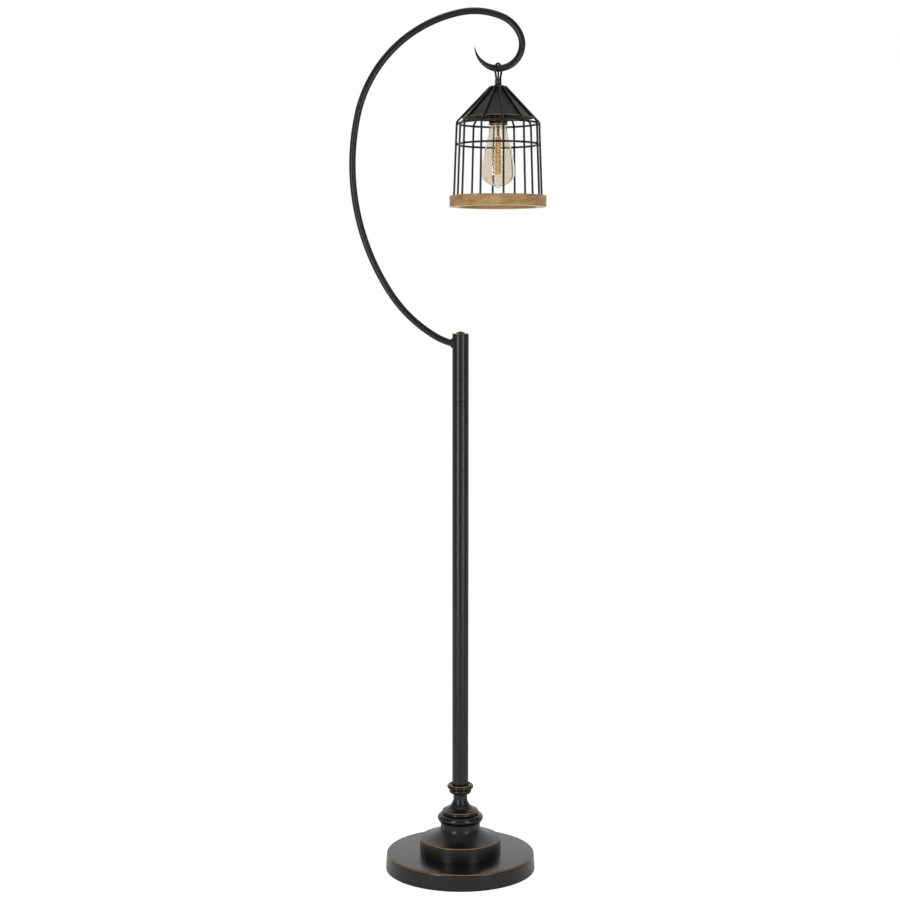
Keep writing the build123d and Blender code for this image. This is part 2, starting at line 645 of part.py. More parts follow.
def cap_screw():
    """Low hexagon screw with a crowned head in the post cap."""
    head = hex_nut(CAP_HEAD_FLATS, CAP_SCREW_RADIUS / 2, POST_TOP, CAP_HEAD_HEIGHT)
    head_top = POST_TOP + CAP_HEAD_HEIGHT
    crown_top = head_top + CAP_CROWN_HEIGHT
    crown = (CAP_CROWN_RADIUS / 3, crown_top)
    core = turned(
        (0, POST_TOP - CAP_SCREW_LENGTH),
        (CAP_SCREW_RADIUS, POST_TOP - CAP_SCREW_LENGTH),
        (CAP_SCREW_RADIUS, POST_TOP),
        (CAP_CROWN_RADIUS, POST_TOP + CAP_HEAD_HEIGHT / 2),
        (CAP_CROWN_RADIUS, head_top),
        (arc_middle((CAP_CROWN_RADIUS, head_top), crown, CAP_CROWN_SAG), crown),
        (0, crown_top),
    )
    return head + core


# ---------------------------------------------------------------- arm
def hook_place(turn):
    """Return the place on the hook's axis at a turn beyond its start."""
    return bend(HOOK_START, HOOK_RADIUS, turn)[1]


def arm_tube():
    """Bowed tube from the post's head to just beyond the hook's lowest point."""
    hook_turn = HOOK_LOW_TURN + HOOK_TAPER_START
    direction = heading_vector(ARM_START.heading)
    root = Vector(ARM_START.x, 0, ARM_START.z) - direction * ARM_ROOT_DEPTH
    stub = Line(root, (ARM_START.x, 0, ARM_START.z))
    path = Wire([stub] + arm_edges(ARM_START, ARM_BENDS + [(HOOK_RADIUS, hook_turn)]))
    ring = Circle(ARM_RADIUS) - Circle(ARM_RADIUS - ARM_WALL)
    section = Plane(origin=root, x_dir=(0, 1, 0), z_dir=direction) * ring
    body = sweep(section, path=path)
    post = Pos(0, 0, ARM_START.z) * Cylinder(POST_RADIUS, 8 * ARM_RADIUS)
    exit_hole = Pos(HOOK_LOW.x, 0, HOOK_LOW.z - ARM_RADIUS) * Cylinder(BUSH_RADIUS, 2 * (ARM_RADIUS - ARM_WALL))
    return body - post - exit_hole


def hook_tip():
    """Solid tapered end of the hook, drawn out to a point."""
    first = HOOK_LOW_TURN + HOOK_TAPER_START
    last = HOOK_LOW_TURN + HOOK_TIP_RISE
    count = 7
    sections = []
    for index in range(count):
        share = index / (count - 1)
        radius = ARM_RADIUS + (HOOK_POINT_RADIUS - ARM_RADIUS) * share
        sections.append(section_plane(hook_place(first + (last - first) * share)) * Circle(radius))
    return loft(sections)


def arm_weld():
    """Weld bead round the arm where it meets the post."""
    base = section_plane(ARM_START)
    cone = base * Cone(ARM_RADIUS + WELD_SIZE, ARM_RADIUS + WELD_TOE, 2 * WELD_LENGTH)
    post = Pos(0, 0, ARM_START.z) * Cylinder(POST_RADIUS, 8 * ARM_RADIUS)
    direction = heading_vector(ARM_START.heading)
    root = Vector(ARM_START.x, 0, ARM_START.z) - direction * ARM_ROOT_DEPTH
    stub = Line(root, (ARM_START.x, 0, ARM_START.z))
    path = Wire([stub] + arm_edges(ARM_START, ARM_BENDS[:1]))
    core = sweep(Plane(origin=root, x_dir=(0, 1, 0), z_dir=direction) * Circle(ARM_RADIUS), path=path)
    return cone - post - core


def hook_bush():
    """Bush in the hook's underside where the lead leaves the arm."""
    barrel = Pos(HOOK_LOW.x, 0, HOOK_LOW.z - ARM_RADIUS) * Cylinder(BUSH_RADIUS, 4 * ARM_WALL)
    bore = Pos(HOOK_LOW.x, 0, HOOK_LOW.z - ARM_RADIUS) * Cylinder(LEAD_RADIUS + LEAD_SLIDE_GAP, 8 * ARM_WALL)
    wall = Pos(HOOK_LOW.x, 0, HOOK_LOW.z) * Rot(0, 90, 0) * (
        Cylinder(ARM_RADIUS, 4 * BUSH_RADIUS) - Cylinder(ARM_RADIUS - ARM_WALL, 4 * BUSH_RADIUS))
    return (barrel & wall) - bore


# ---------------------------------------------------------------- lead
def lead_stand():
    """Lead from inside the grommet through foot, pipe, post and arm to the hook's bush."""
    rear = cover_radius(LEAD_CHANNEL_HEIGHT) - COVER_WALL
    level = LEAD_CHANNEL_HEIGHT
    low_bend = LEAD_BEND_RADIUS
    lean = math.sqrt(0.5)
    turn = ARM_START.heading - 90
    crossing = ARM_START.z - ARM_START.x * math.tan(math.radians(ARM_START.heading))
    post_top = ArmPoint(0, crossing - LEAD_BEND_RADIUS * math.tan(math.radians(turn / 2)), 90)
    turn_middle, turn_end = bend(post_top, -LEAD_BEND_RADIUS, -turn)
    exit_turn = math.degrees(math.asin(LEAD_EXIT_RADIUS / (HOOK_RADIUS + LEAD_EXIT_RADIUS)))
    hook_bend = (HOOK_RADIUS, HOOK_LOW_TURN - exit_turn)
    drop_bend = (-LEAD_EXIT_RADIUS, exit_turn - 90)
    drop_start = bend(HOOK_START, *hook_bend)[1]
    drop_end = bend(drop_start, *drop_bend)[1]
    edges = [
        Line((0, rear, level), (0, low_bend, level)),
        ThreePointArc(
            (0, low_bend, level),
            (0, low_bend * (1 - lean), level + low_bend * (1 - lean)),
            (0, 0, level + low_bend)),
        Line((0, 0, level + low_bend), (0, 0, post_top.z)),
        ThreePointArc(
            (0, 0, post_top.z), (turn_middle.x, 0, turn_middle.z), (turn_end.x, 0, turn_end.z)),
        Line((turn_end.x, 0, turn_end.z), (ARM_START.x, 0, ARM_START.z)),
    ]
    edges += arm_edges(ARM_START, ARM_BENDS + [hook_bend, drop_bend])
    edges.append(Line((drop_end.x, 0, drop_end.z), (drop_end.x, 0, HOOK_LOW.z - ARM_RADIUS)))
    section = Plane(origin=(0, rear, level), z_dir=(0, -1, 0)) * Circle(LEAD_RADIUS)
    return sweep(section, path=Wire(edges))


def lead_drop():
    """Short lead from the hook's bush through the hub to the socket's block."""
    top = HOOK_LOW.z - ARM_RADIUS - SLIP_GAP
    length = top - BLOCK_TOP
    return Pos(HOOK_LOW.x, 0, BLOCK_TOP) * Cylinder(
        LEAD_RADIUS, length, align=(Align.CENTER, Align.CENTER, Align.MIN))


# ---------------------------------------------------------------- hanger and its seat
def hanger_loop():
    """Forged loop over the hook with a round hub below, turned to its yaw."""
    flank = LOOP_ARCH_RADIUS * math.cos(TAPER)
    shoulder = ARCH_CENTRE - LOOP_ARCH_RADIUS * math.sin(TAPER)
    foot_x = LOOP_LEG_SPACING / 2 - LOOP_LEG_SINK * math.sin(TAPER)
    foot_z = HUB_TOP - LOOP_LEG_SINK * math.cos(TAPER)
    path = Wire([
        Line((-foot_x, 0, foot_z), (-flank, 0, shoulder)),
        ThreePointArc((-flank, 0, shoulder), (0, 0, ARCH_CENTRE + LOOP_ARCH_RADIUS), (flank, 0, shoulder)),
        Line((flank, 0, shoulder), (foot_x, 0, foot_z)),
    ])
    start = Plane(origin=(-foot_x, 0, foot_z), z_dir=(-flank + foot_x, 0, shoulder - foot_z))
    wire = sweep(start * Circle(LOOP_WIRE_RADIUS), path=path)
    hub = turned(
        (0, HUB_BOTTOM),
        (HUB_RADIUS, HUB_BOTTOM),
        (HUB_RADIUS, HUB_TOP - HUB_CHAMFER),
        (HUB_RADIUS - HUB_CHAMFER, HUB_TOP),
        (0, HUB_TOP),
    )
    seat = Pos(0, 0, HUB_BOTTOM) * Cylinder(
        NIPPLE_RADIUS + RUNNING_GAP, NIPPLE_GRIP + SLIP_GAP,
        align=(Align.CENTER, Align.CENTER, Align.MIN))
    way = Pos(0, 0, HUB_BOTTOM) * Cylinder(
        LEAD_RADIUS + CORE_GAP, HUB_LENGTH + 2 * LOOP_WIRE_RADIUS,
        align=(Align.CENTER, Align.CENTER, Align.MIN))
    return Pos(HANG_X, 0, 0) * Rot(0, 0, 90 - LOOP_YAW) * ((wire + hub) - seat - way)


def clamp_ring():
    """Tapered ring nut that clamps the cage's head on the nipple."""
    return turned(
        (NIPPLE_RADIUS + RUNNING_GAP, CAGE_TOP),
        (CLAMP_RING_FOOT_RADIUS, CAGE_TOP),
        (CLAMP_RING_FOOT_RADIUS, CAGE_TOP + CLAMP_RING_BAND),
        (CLAMP_RING_TOP_RADIUS, CLAMP_RING_TOP),
        (NIPPLE_RADIUS + RUNNING_GAP, CLAMP_RING_TOP),
        x=HANG_X,
    )


def nipple():
    """Hollow threaded nipple from the hub down into the socket."""
    return tube(NIPPLE_RADIUS, NIPPLE_BORE_RADIUS, NIPPLE_BOTTOM, NIPPLE_TOP, x=HANG_X)


def lock_nut():
    """Nut under the cone that holds the cage on the nipple."""
    return hex_nut(LOCK_NUT_FLATS, NIPPLE_RADIUS + RUNNING_GAP, SOCKET_TOP, LOCK_NUT_HEIGHT, x=HANG_X)


# ---------------------------------------------------------------- cage
def cage_cap():
    """Flat disc at the cage's head that the roof wires are welded to."""
    return tube(CAP_PLATE_RADIUS, NIPPLE_RADIUS + RUNNING_GAP, CONE_TOP, CAGE_TOP, x=HANG_X)


def inner_cone():
    """Spun cone under the roof wires, open below."""
    rim = CONE_TOP - (CONE_RIM_RADIUS - CAP_PLATE_RADIUS) * ROOF_TAN
    wall = CONE_WALL / ROOF_SIN
    inside = CAP_PLATE_RADIUS + CONE_WALL / ROOF_TAN - wall
    return turned(
        (NIPPLE_RADIUS + RUNNING_GAP, CONE_TOP),
        (CAP_PLATE_RADIUS, CONE_TOP),
        (CONE_RIM_RADIUS, rim),
        (CONE_RIM_RADIUS - wall, rim),
        (inside, CONE_TOP - CONE_WALL),
        (NIPPLE_RADIUS + RUNNING_GAP, CONE_TOP - CONE_WALL),
        x=HANG_X,
    )


def wire_foot():
    """Return the lower end of a wire, as (radius, height)."""
    return (CAGE_FOOT_RADIUS + WALL_LEAN * WIRE_SEAT_DEPTH, RING_TOP - WIRE_SEAT_DEPTH)


def wire_edges():
    """Return a wire's axis in its own plane: wall, shoulder bend and roof."""
    foot = wire_foot()
    lean = math.atan(WALL_LEAN)
    turn = math.pi / 2 - math.radians(CAGE_ROOF_ANGLE) - lean
    reach = SHOULDER_BEND_RADIUS * math.tan(turn / 2)
    corner = (CAGE_SHOULDER_RADIUS, CAGE_SHOULDER)
    low = (corner[0] + reach * math.sin(lean), corner[1] - reach * math.cos(lean))
    high = (corner[0] - reach * ROOF_COS, corner[1] + reach * ROOF_SIN)
    sagitta = SHOULDER_BEND_RADIUS * (1 - math.cos(turn / 2))
    middle = arc_middle(low, high, sagitta)
    end = (WIRE_END_RADIUS, WIRE_END)
    points = [foot, low, middle, high, end]
    return [(radius, 0, height) for radius, height in points]


def cage_wire(index):
    """Welded wire number index of the cage, seated in the wooden ring."""
    foot, low, middle, high, end = wire_edges()
    path = Wire([Line(foot, low), ThreePointArc(low, middle, high), Line(high, end)])
    start = Plane(origin=foot, z_dir=Vector(low) - Vector(foot))
    wire = sweep(start * Circle(WIRE_RADIUS), path=path)
    return Pos(HANG_X, 0, 0) * Rot(0, 0, wire_yaw(index)) * wire


def wire_yaw(index):
    """Return the direction of a wire about the cage's axis, from +X."""
    return WIRE_YAW - 90 + index * 360 / WIRE_COUNT


def wall_radius(height):
    """Return the wire circle's radius at a height."""
    return CAGE_FOOT_RADIUS - WALL_LEAN * (height - RING_TOP)


def hoop(height):
    """Round wire hoop welded inside the wires at a height."""
    radius = wall_radius(height) - 2 * WIRE_RADIUS + WELD_SINK
    return Pos(HANG_X, 0, height) * Torus(radius, WIRE_RADIUS)


def mid_hoop():
    """Hoop half-way up the cage's wall."""
    return hoop(RING_TOP + MID_HOOP_HEIGHT)


def shoulder_hoop():
    """Hoop just below the cage's shoulder."""
    return hoop(CAGE_SHOULDER - SHOULDER_HOOP_DROP)


def wood_ring():
    """Wooden ring at the cage's foot, drilled for the wires."""
    edge = RING_EDGE_RADIUS
    lean = math.sqrt(0.5)

    def corner(radius, height, outward, upward):
        centre = (radius - outward * edge, height - upward * edge)
        return (centre[0] + outward * edge * lean, centre[1] + upward * edge * lean)

    ring = turned(
        (RING_BORE_RADIUS, RING_BOTTOM + edge),
        (corner(RING_BORE_RADIUS, RING_BOTTOM, -1, -1), (RING_BORE_RADIUS + edge, RING_BOTTOM)),
        (RING_RADIUS - edge, RING_BOTTOM),
        (corner(RING_RADIUS, RING_BOTTOM, 1, -1), (RING_RADIUS, RING_BOTTOM + edge)),
        (RING_RADIUS, RING_TOP - edge),
        (corner(RING_RADIUS, RING_TOP, 1, 1), (RING_RADIUS - edge, RING_TOP)),
        (RING_BORE_RADIUS + edge, RING_TOP),
        (corner(RING_BORE_RADIUS, RING_TOP, -1, 1), (RING_BORE_RADIUS, RING_TOP - edge)),
    )
    foot, low = wire_edges()[:2]
    axis = (Vector(low) - Vector(foot)).normalized()
    seat = Plane(origin=foot, z_dir=axis) * Cylinder(
        WIRE_RADIUS + RUNNING_GAP, 2 * WIRE_SEAT_DEPTH, align=(Align.CENTER, Align.CENTER, Align.MIN))
    for index in range(WIRE_COUNT):
        ring = ring - Rot(0, 0, wire_yaw(index)) * seat
    return Pos(HANG_X, 0, 0) * ring


# ---------------------------------------------------------------- socket
def socket_cap():
    """Domed head of the lamp holder, screwed on the nipple."""
    wall = SOCKET_WALL
    bottom = SOCKET_TOP - SOCKET_CAP_HEIGHT
    round_radius = SOCKET_CAP_ROUND
    lean = math.sqrt(0.5)
    outer = (SOCKET_CAP_RADIUS - round_radius, SOCKET_TOP - round_radius)
    inner_round = round_radius - wall
    return turned(
        (SOCKET_CAP_RADIUS - wall, bottom),
        (SOCKET_CAP_RADIUS, bottom),
        (SOCKET_CAP_RADIUS, outer[1]),
        ((outer[0] + round_radius * lean, outer[1] + round_radius * lean), (outer[0], SOCKET_TOP)),
        (NIPPLE_RADIUS + RUNNING_GAP, SOCKET_TOP),
        (NIPPLE_RADIUS + RUNNING_GAP, SOCKET_TOP - wall),
        (outer[0], SOCKET_TOP - wall),
        ((outer[0] + inner_round * lean, outer[1] + inner_round * lean),
         (SOCKET_CAP_RADIUS - wall, outer[1])),
        x=HANG_X,
    )


def socket_shell():
    """Brass shell of the lamp holder with a turned-out rim."""
    inside = SHELL_BORE_RADIUS
    outside = inside + SOCKET_WALL
    return turned(
        (inside, SHELL_BOTTOM),
        (SOCKET_RIM_RADIUS, SHELL_BOTTOM),
        (SOCKET_RIM_RADIUS, SHELL_BOTTOM + SOCKET_LIP),
        (outside, SHELL_BOTTOM + SOCKET_LIP + SOCKET_LIP_FLARE),
        (outside, SHELL_TOP),
        (inside, SHELL_TOP),
        x=HANG_X,
    )


def socket_block():
    """Insulating block that carries the contacts, closed at the top for the lead."""
    return turned(
        (0, BLOCK_BOTTOM),
        (BLOCK_RADIUS, BLOCK_BOTTOM),
        (BLOCK_RADIUS, BLOCK_TOP),
        (0, BLOCK_TOP),
        x=HANG_X,
    )


def socket_liner():
    """Insulating sleeve between the shell and the threaded shell."""
    return tube(SHELL_BORE_RADIUS - RUNNING_GAP, BLOCK_RADIUS + RUNNING_GAP,
                SHELL_BOTTOM + SOCKET_LIP, BLOCK_TOP, x=HANG_X)


def socket_thread_shell():
    """Screw shell of the lamp holder, riveted under the block."""
    top = BLOCK_BOTTOM
    return turned(
        (CONTACT_RADIUS + THREAD_SHELL_LEDGE, top),
        (CONTACT_RADIUS + THREAD_SHELL_LEDGE, top - THREAD_SHELL_WALL),
        (THREAD_SHELL_RADIUS - THREAD_SHELL_WALL, top - THREAD_SHELL_WALL),
        (THREAD_SHELL_RADIUS - THREAD_SHELL_WALL, top - THREAD_SHELL_LENGTH),
        (THREAD_SHELL_RADIUS, top - THREAD_SHELL_LENGTH),
        (THREAD_SHELL_RADIUS, top),
        x=HANG_X,
    )


def socket_contact():
    """Centre contact of the lamp holder."""
    return tube(CONTACT_RADIUS, 0, BLOCK_BOTTOM - CONTACT_HEIGHT, BLOCK_BOTTOM, x=HANG_X)


# ---------------------------------------------------------------- bulb
def glass_profile(offset):
    """Return the bulb's profile from its lower end up, moved inwards by offset."""
    taper = math.radians(GLASS_TAPER_ANGLE)
    throat = GLASS_THROAT_BEND
    belly_height = BULB_BOTTOM + GLASS_PIP_HEIGHT + GLASS_DOME_HEIGHT
    rise = GLASS_TOP - belly_height
    neck_drop = throat * (1 - math.cos(taper))
    spare = rise - throat * math.sin(taper)
    spare -= (GLASS_RADIUS - GLASS_NECK_RADIUS - neck_drop) / math.tan(taper)
    belly = spare / (math.sin(taper) - (1 - math.cos(taper)) / math.tan(taper))

    side = GLASS_RADIUS - GLASS_SIDE_BEND
    floor = GLASS_DOME_HEIGHT ** 2 + side ** 2 - GLASS_SIDE_BEND ** 2
    floor /= 2 * (GLASS_DOME_HEIGHT - GLASS_SIDE_BEND)
    floor_centre = belly_height - GLASS_DOME_HEIGHT + floor
    swing = math.atan2(side, floor_centre - belly_height)

    floor_radius = floor - offset
    side_radius = GLASS_SIDE_BEND - offset
    belly_radius = belly - offset
    throat_radius = throat + offset
    low = (0, floor_centre - floor_radius)
    join = polar((0, floor_centre), floor_radius, swing - math.pi / 2)
    equator = (GLASS_RADIUS - offset, belly_height)
    belly_centre = (GLASS_RADIUS - belly, belly_height)
    shoulder = polar(belly_centre, belly_radius, taper)
    throat_centre = (GLASS_NECK_RADIUS + throat, GLASS_TOP)
    neck_low = polar(throat_centre, throat_radius, math.pi + taper)
    neck_top = (GLASS_NECK_RADIUS - offset, GLASS_TOP)
    return low, [
        (polar((0, floor_centre), floor_radius, swing / 2 - math.pi / 2), join),
        (polar((side, belly_height), side_radius, (swing - math.pi / 2) / 2), equator),
        (polar(belly_centre, belly_radius, taper / 2), shoulder),
        neck_low,
        (polar(throat_centre, throat_radius, math.pi + taper / 2), neck_top),
    ]


def bulb_glass():
    """Pear-shaped glass with a rounded pip, turned in over the cap."""
    low, outside = glass_profile(0)
    inner_low, inside = glass_profile(GLASS_WALL)
    solid = turned(low, *outside, (BULB_CAP_RADIUS, GLASS_TOP + GLASS_CROWN), (0, GLASS_TOP + GLASS_CROWN))
    hollow = turned(
        inner_low, *inside,
        (BULB_CAP_RADIUS - GLASS_WALL, GLASS_TOP + GLASS_CROWN - GLASS_WALL / 2),
        (BULB_CAP_RADIUS - GLASS_WALL, GLASS_TOP + GLASS_CROWN + GLASS_WALL),
        (0, GLASS_TOP + GLASS_CROWN + GLASS_WALL),
    )
    pip = Pos(0, 0, BULB_BOTTOM + GLASS_PIP_RADIUS) * Sphere(GLASS_PIP_RADIUS)
    return Pos(HANG_X, 0, 0) * ((solid + pip) - hollow)


def bulb_cap():
    """Screw cap of the bulb, with rolled thread waves and a closed head."""
    base = GLASS_TOP + GLASS_CROWN
    head = BULB_CAP_TOP
    root = BULB_CAP_RADIUS - BULB_THREAD_DEPTH
    waves = int((head - base - BULB_HEAD_SLOPE - BULB_CAP_PLAIN) / BULB_THREAD_PITCH)
    start = head - BULB_HEAD_SLOPE - waves * BULB_THREAD_PITCH
    steps = [(BULB_CAP_RADIUS, base), (BULB_CAP_RADIUS, start - BULB_THREAD_RUNOUT), (root, start)]
    for index in range(waves):
        foot = start + index * BULB_THREAD_PITCH
        crest = (BULB_CAP_RADIUS, foot + BULB_THREAD_PITCH / 2)
        steps.append((crest, (root, foot + BULB_THREAD_PITCH)))
    steps += [
        (BULB_TIP_RADIUS + BULB_HEAD_LEDGE, head),
        (BULB_TIP_RADIUS + BULB_HEAD_LEDGE, head - BULB_CAP_WALL),
        (root - BULB_CAP_WALL - BULB_HEAD_TURN, head - BULB_HEAD_SLOPE - BULB_CAP_WALL),
        (root - BULB_CAP_WALL, head - BULB_HEAD_SLOPE - BULB_HEAD_TURN - BULB_CAP_WALL),
    ]
    return turned((root - BULB_CAP_WALL, base), *steps, x=HANG_X)


def bulb_insulator():
    """Glass insulator in the head of the bulb's cap."""
    low = BULB_CAP_TOP - BULB_CAP_WALL
    return turned(
        (0, low),
        (BULB_TIP_RADIUS + BULB_HEAD_LEDGE, low),
        (BULB_TIP_RADIUS + BULB_HEAD_LEDGE, BULB_CAP_TOP),
        (BULB_TIP_RADIUS, BULB_CAP_TOP + BULB_TIP_HEIGHT / 2),
        (0, BULB_CAP_TOP + BULB_TIP_HEIGHT / 2),
        x=HANG_X,
    )


def bulb_contact():
    """Centre contact on the bulb's head."""
    low = BULB_CAP_TOP + BULB_TIP_HEIGHT / 2
    rim = (BULB_TIP_RADIUS - BULB_TIP_CHAMFER, low)
    crown = (BULB_TIP_RADIUS / 3, BULB_TOP)
    return turned((0, low), rim, (arc_middle(rim, crown, BULB_TIP_CROWN), crown), (0, BULB_TOP), x=HANG_X)


def bulb_stem():
    """Glass stem that stands in the cap and carries the filaments."""
    seat = GLASS_TOP + GLASS_CROWN
    top = seat + STEM_PRESS
    flare = BULB_CAP_RADIUS - BULB_THREAD_DEPTH - BULB_CAP_WALL - RUNNING_GAP
    end = FILAMENT_TOP - FILAMENT_LENGTH
    return turned(
        (0, end),
        (STEM_ROD_RADIUS, end),
        (STEM_ROD_RADIUS, FILAMENT_TOP),
        (STEM_RADIUS, FILAMENT_TOP + STEM_NECK),
        (STEM_RADIUS, seat - STEM_FLARE),
        (arc_middle((STEM_RADIUS, seat - STEM_FLARE), (flare, seat), -STEM_FLARE_SAG), (flare, seat)),
        (flare, top),
        (0, top),
        x=HANG_X,
    )


def bulb_filaments():
    """Upright filaments in a ring, joined by a wire frame at both ends."""
    low = FILAMENT_TOP - FILAMENT_LENGTH
    rod = Pos(FILAMENT_CIRCLE_RADIUS, 0, low) * Cylinder(
        FILAMENT_RADIUS, FILAMENT_LENGTH, align=(Align.CENTER, Align.CENTER, Align.MIN))
    frames = []
    for height in (low, FILAMENT_TOP - FRAME_THICKNESS):
        frames.append(tube(FILAMENT_CIRCLE_RADIUS + FRAME_THICKNESS / 2, STEM_ROD_RADIUS,
                           height, height + FRAME_THICKNESS))
    body = frames[0] + frames[1]
    for index in range(FILAMENT_COUNT):
        body = body + Rot(0, 0, index * 360 / FILAMENT_COUNT) * rod
    return Pos(HANG_X, 0, 0) * body


# ---------------------------------------------------------------- the lamp
SUB_PARTS = {
    "base_pad": base_pad,
    "base_weight": base_weight,
    "base_cover": base_cover,
    "cord_grommet": cord_grommet,
    "base_washer": base_washer,
    "base_nut": base_nut,
    "centre_pipe": centre_pipe,
    "base_bell": base_bell,
    "torus_ring": torus_ring,
    "neck_spindle": neck_spindle,
    "post_cup": post_cup,
    "post_foot_plug": post_foot_plug,
    "post_lower_tube": post_lower_tube,
    "post_lower_plug": post_lower_plug,
    "post_joint_stud": post_joint_stud,
    "post_upper_plug": post_upper_plug,
    "post_upper_tube": post_upper_tube,
    "post_cap": post_cap,
    "cap_screw": cap_screw,
    "arm_tube": arm_tube,
    "arm_weld": arm_weld,
    "hook_tip": hook_tip,
    "hook_bush": hook_bush,
    "lead_stand": lead_stand,
    "hanger_loop": hanger_loop,
    "nipple": nipple,
    "clamp_ring": clamp_ring,
    "lock_nut": lock_nut,
    "lead_drop": lead_drop,
    "cage_cap": cage_cap,
    "inner_cone": inner_cone,
    "mid_hoop": mid_hoop,
    "shoulder_hoop": shoulder_hoop,
    "wood_ring": wood_ring,
    "socket_cap": socket_cap,
    "socket_shell": socket_shell,
    "socket_liner": socket_liner,
    "socket_block": socket_block,
    "socket_thread_shell": socket_thread_shell,
    "socket_contact": socket_contact,
    "bulb_glass": bulb_glass,
    "bulb_cap": bulb_cap,
    "bulb_insulator": bulb_insulator,
    "bulb_contact": bulb_contact,
    "bulb_stem": bulb_stem,
    "bulb_filaments": bulb_filaments,
}


def as_solid(shape):
    """Return the one solid that a sub-part consists of."""
    solids = shape.solids()
    if len(solids) != 1:
        raise ValueError(f"{len(solids)} solids")
    return solids[0]


def main():
    """Write every sub-part to its own file."""
    os.makedirs("parts", exist_ok=True)
    for name, make in SUB_PARTS.items():
        export_step(as_solid(make()), f"parts/{name}.step")
    for index in range(WIRE_COUNT):
        export_step(as_solid(cage_wire(index)), f"parts/cage_wire_{index + 1:02d}.step")


if __name__ == "__main__":
    main()
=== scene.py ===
"""Looks of a floor lamp whose bowed arm carries a hanging wire cage shade."""

from __future__ import annotations

import json
import logging
import math
from dataclasses import dataclass, field
from enum import Enum
from typing import Any, Iterable, Mapping, Sequence

import bpy
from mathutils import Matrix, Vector, noise

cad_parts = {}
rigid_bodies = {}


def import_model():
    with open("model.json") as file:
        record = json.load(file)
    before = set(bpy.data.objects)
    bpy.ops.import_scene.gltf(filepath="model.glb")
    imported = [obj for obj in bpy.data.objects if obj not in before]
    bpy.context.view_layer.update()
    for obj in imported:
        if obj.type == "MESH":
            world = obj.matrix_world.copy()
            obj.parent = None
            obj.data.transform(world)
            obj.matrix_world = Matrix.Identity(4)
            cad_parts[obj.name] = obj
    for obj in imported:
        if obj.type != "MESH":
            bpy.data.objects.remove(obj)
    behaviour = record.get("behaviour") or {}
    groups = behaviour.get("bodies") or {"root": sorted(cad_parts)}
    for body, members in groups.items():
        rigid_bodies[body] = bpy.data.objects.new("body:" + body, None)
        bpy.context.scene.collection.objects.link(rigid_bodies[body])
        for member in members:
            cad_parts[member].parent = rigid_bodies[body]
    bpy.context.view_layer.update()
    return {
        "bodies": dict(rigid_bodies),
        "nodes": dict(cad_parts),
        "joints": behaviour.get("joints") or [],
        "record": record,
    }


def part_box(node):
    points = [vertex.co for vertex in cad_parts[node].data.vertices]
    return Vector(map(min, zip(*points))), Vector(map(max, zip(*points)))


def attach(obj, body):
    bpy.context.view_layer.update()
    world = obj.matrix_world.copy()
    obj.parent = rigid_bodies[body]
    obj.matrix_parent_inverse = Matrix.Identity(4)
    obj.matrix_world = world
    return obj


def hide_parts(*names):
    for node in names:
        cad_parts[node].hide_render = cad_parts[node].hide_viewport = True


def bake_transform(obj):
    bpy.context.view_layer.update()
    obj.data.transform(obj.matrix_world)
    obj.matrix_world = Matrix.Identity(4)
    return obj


log = logging.getLogger("lamp")

MM = 0.001
WHITE = (1.0, 1.0, 1.0)
UP = Vector((0, 0, 1))
BACKWARDS = Vector((0, 1, 0))
Point = tuple[float, float]
Colour = tuple[float, float, float]


def srgb(red: int, green: int, blue: int) -> Colour:
    """Turn a colour as seen on a screen into the linear values that shaders take.

    Args:
        red: Red, 0 to 255.
        green: Green, 0 to 255.
        blue: Blue, 0 to 255.

    Returns:
        The linear colour.
    """
    def channel(value: int) -> float:
        """Undo the screen's curve for one channel."""
        share = value / 255
        return share / 12.92 if share <= 0.04045 else ((share + 0.055) / 1.055) ** 2.4

    return channel(red), channel(green), channel(blue)


class Body(Enum):
    """The bodies that the lamp's pieces move with."""

    STAND = "stand"
    HANGER = "hanger"
    SHADE = "shade"
    BULB = "bulb"


class Slot(Enum):
    """The names of the record's material slots."""

    BLACK = "black_metal"
    BRASS = "aged_brass"
    RUBBER = "black_rubber"
    WOOD = "natural_wood"
    AMBER = "amber_glass"
    CLEAR = "clear_glass"
    FILAMENT = "filament"


# ------------------------------------------------------------------ node building
class Signal:
    """A number socket; Python's operators on it add Math nodes."""

    def __init__(self, kit: NodeKit, socket: bpy.types.NodeSocket) -> None:
        self.kit = kit
        self.socket = socket

    def __add__(self, other: Signal | float) -> Signal:
        """Add."""
        return self.kit.math("ADD", self, other)

    def __sub__(self, other: Signal | float) -> Signal:
        """Subtract other from this."""
        return self.kit.math("SUBTRACT", self, other)

    def __rsub__(self, other: float) -> Signal:
        """Subtract this from other."""
        return self.kit.math("SUBTRACT", other, self)

    def __mul__(self, other: Signal | float) -> Signal:
        """Multiply."""
        return self.kit.math("MULTIPLY", self, other)

    def __truediv__(self, other: Signal | float) -> Signal:
        """Divide this by other."""
        return self.kit.math("DIVIDE", self, other)

    __radd__ = __add__
    __rmul__ = __mul__

    def largest(self, other: Signal | float) -> Signal:
        """Return the larger of the two."""
        return self.kit.math("MAXIMUM", self, other)

    def clamped(self) -> Signal:
        """Keep the value between 0 and 1."""
        return self.kit.math("MINIMUM", self.largest(0.0), 1.0)

    def root(self) -> Signal:
        """Return the square root."""
        return self.kit.math("SQRT", self)

    def ramp(self, low: float, high: float) -> Signal:
        """Return 0 at low and 1 at high, with a straight slope between them."""
        return ((self - low) / (high - low)).clamped()


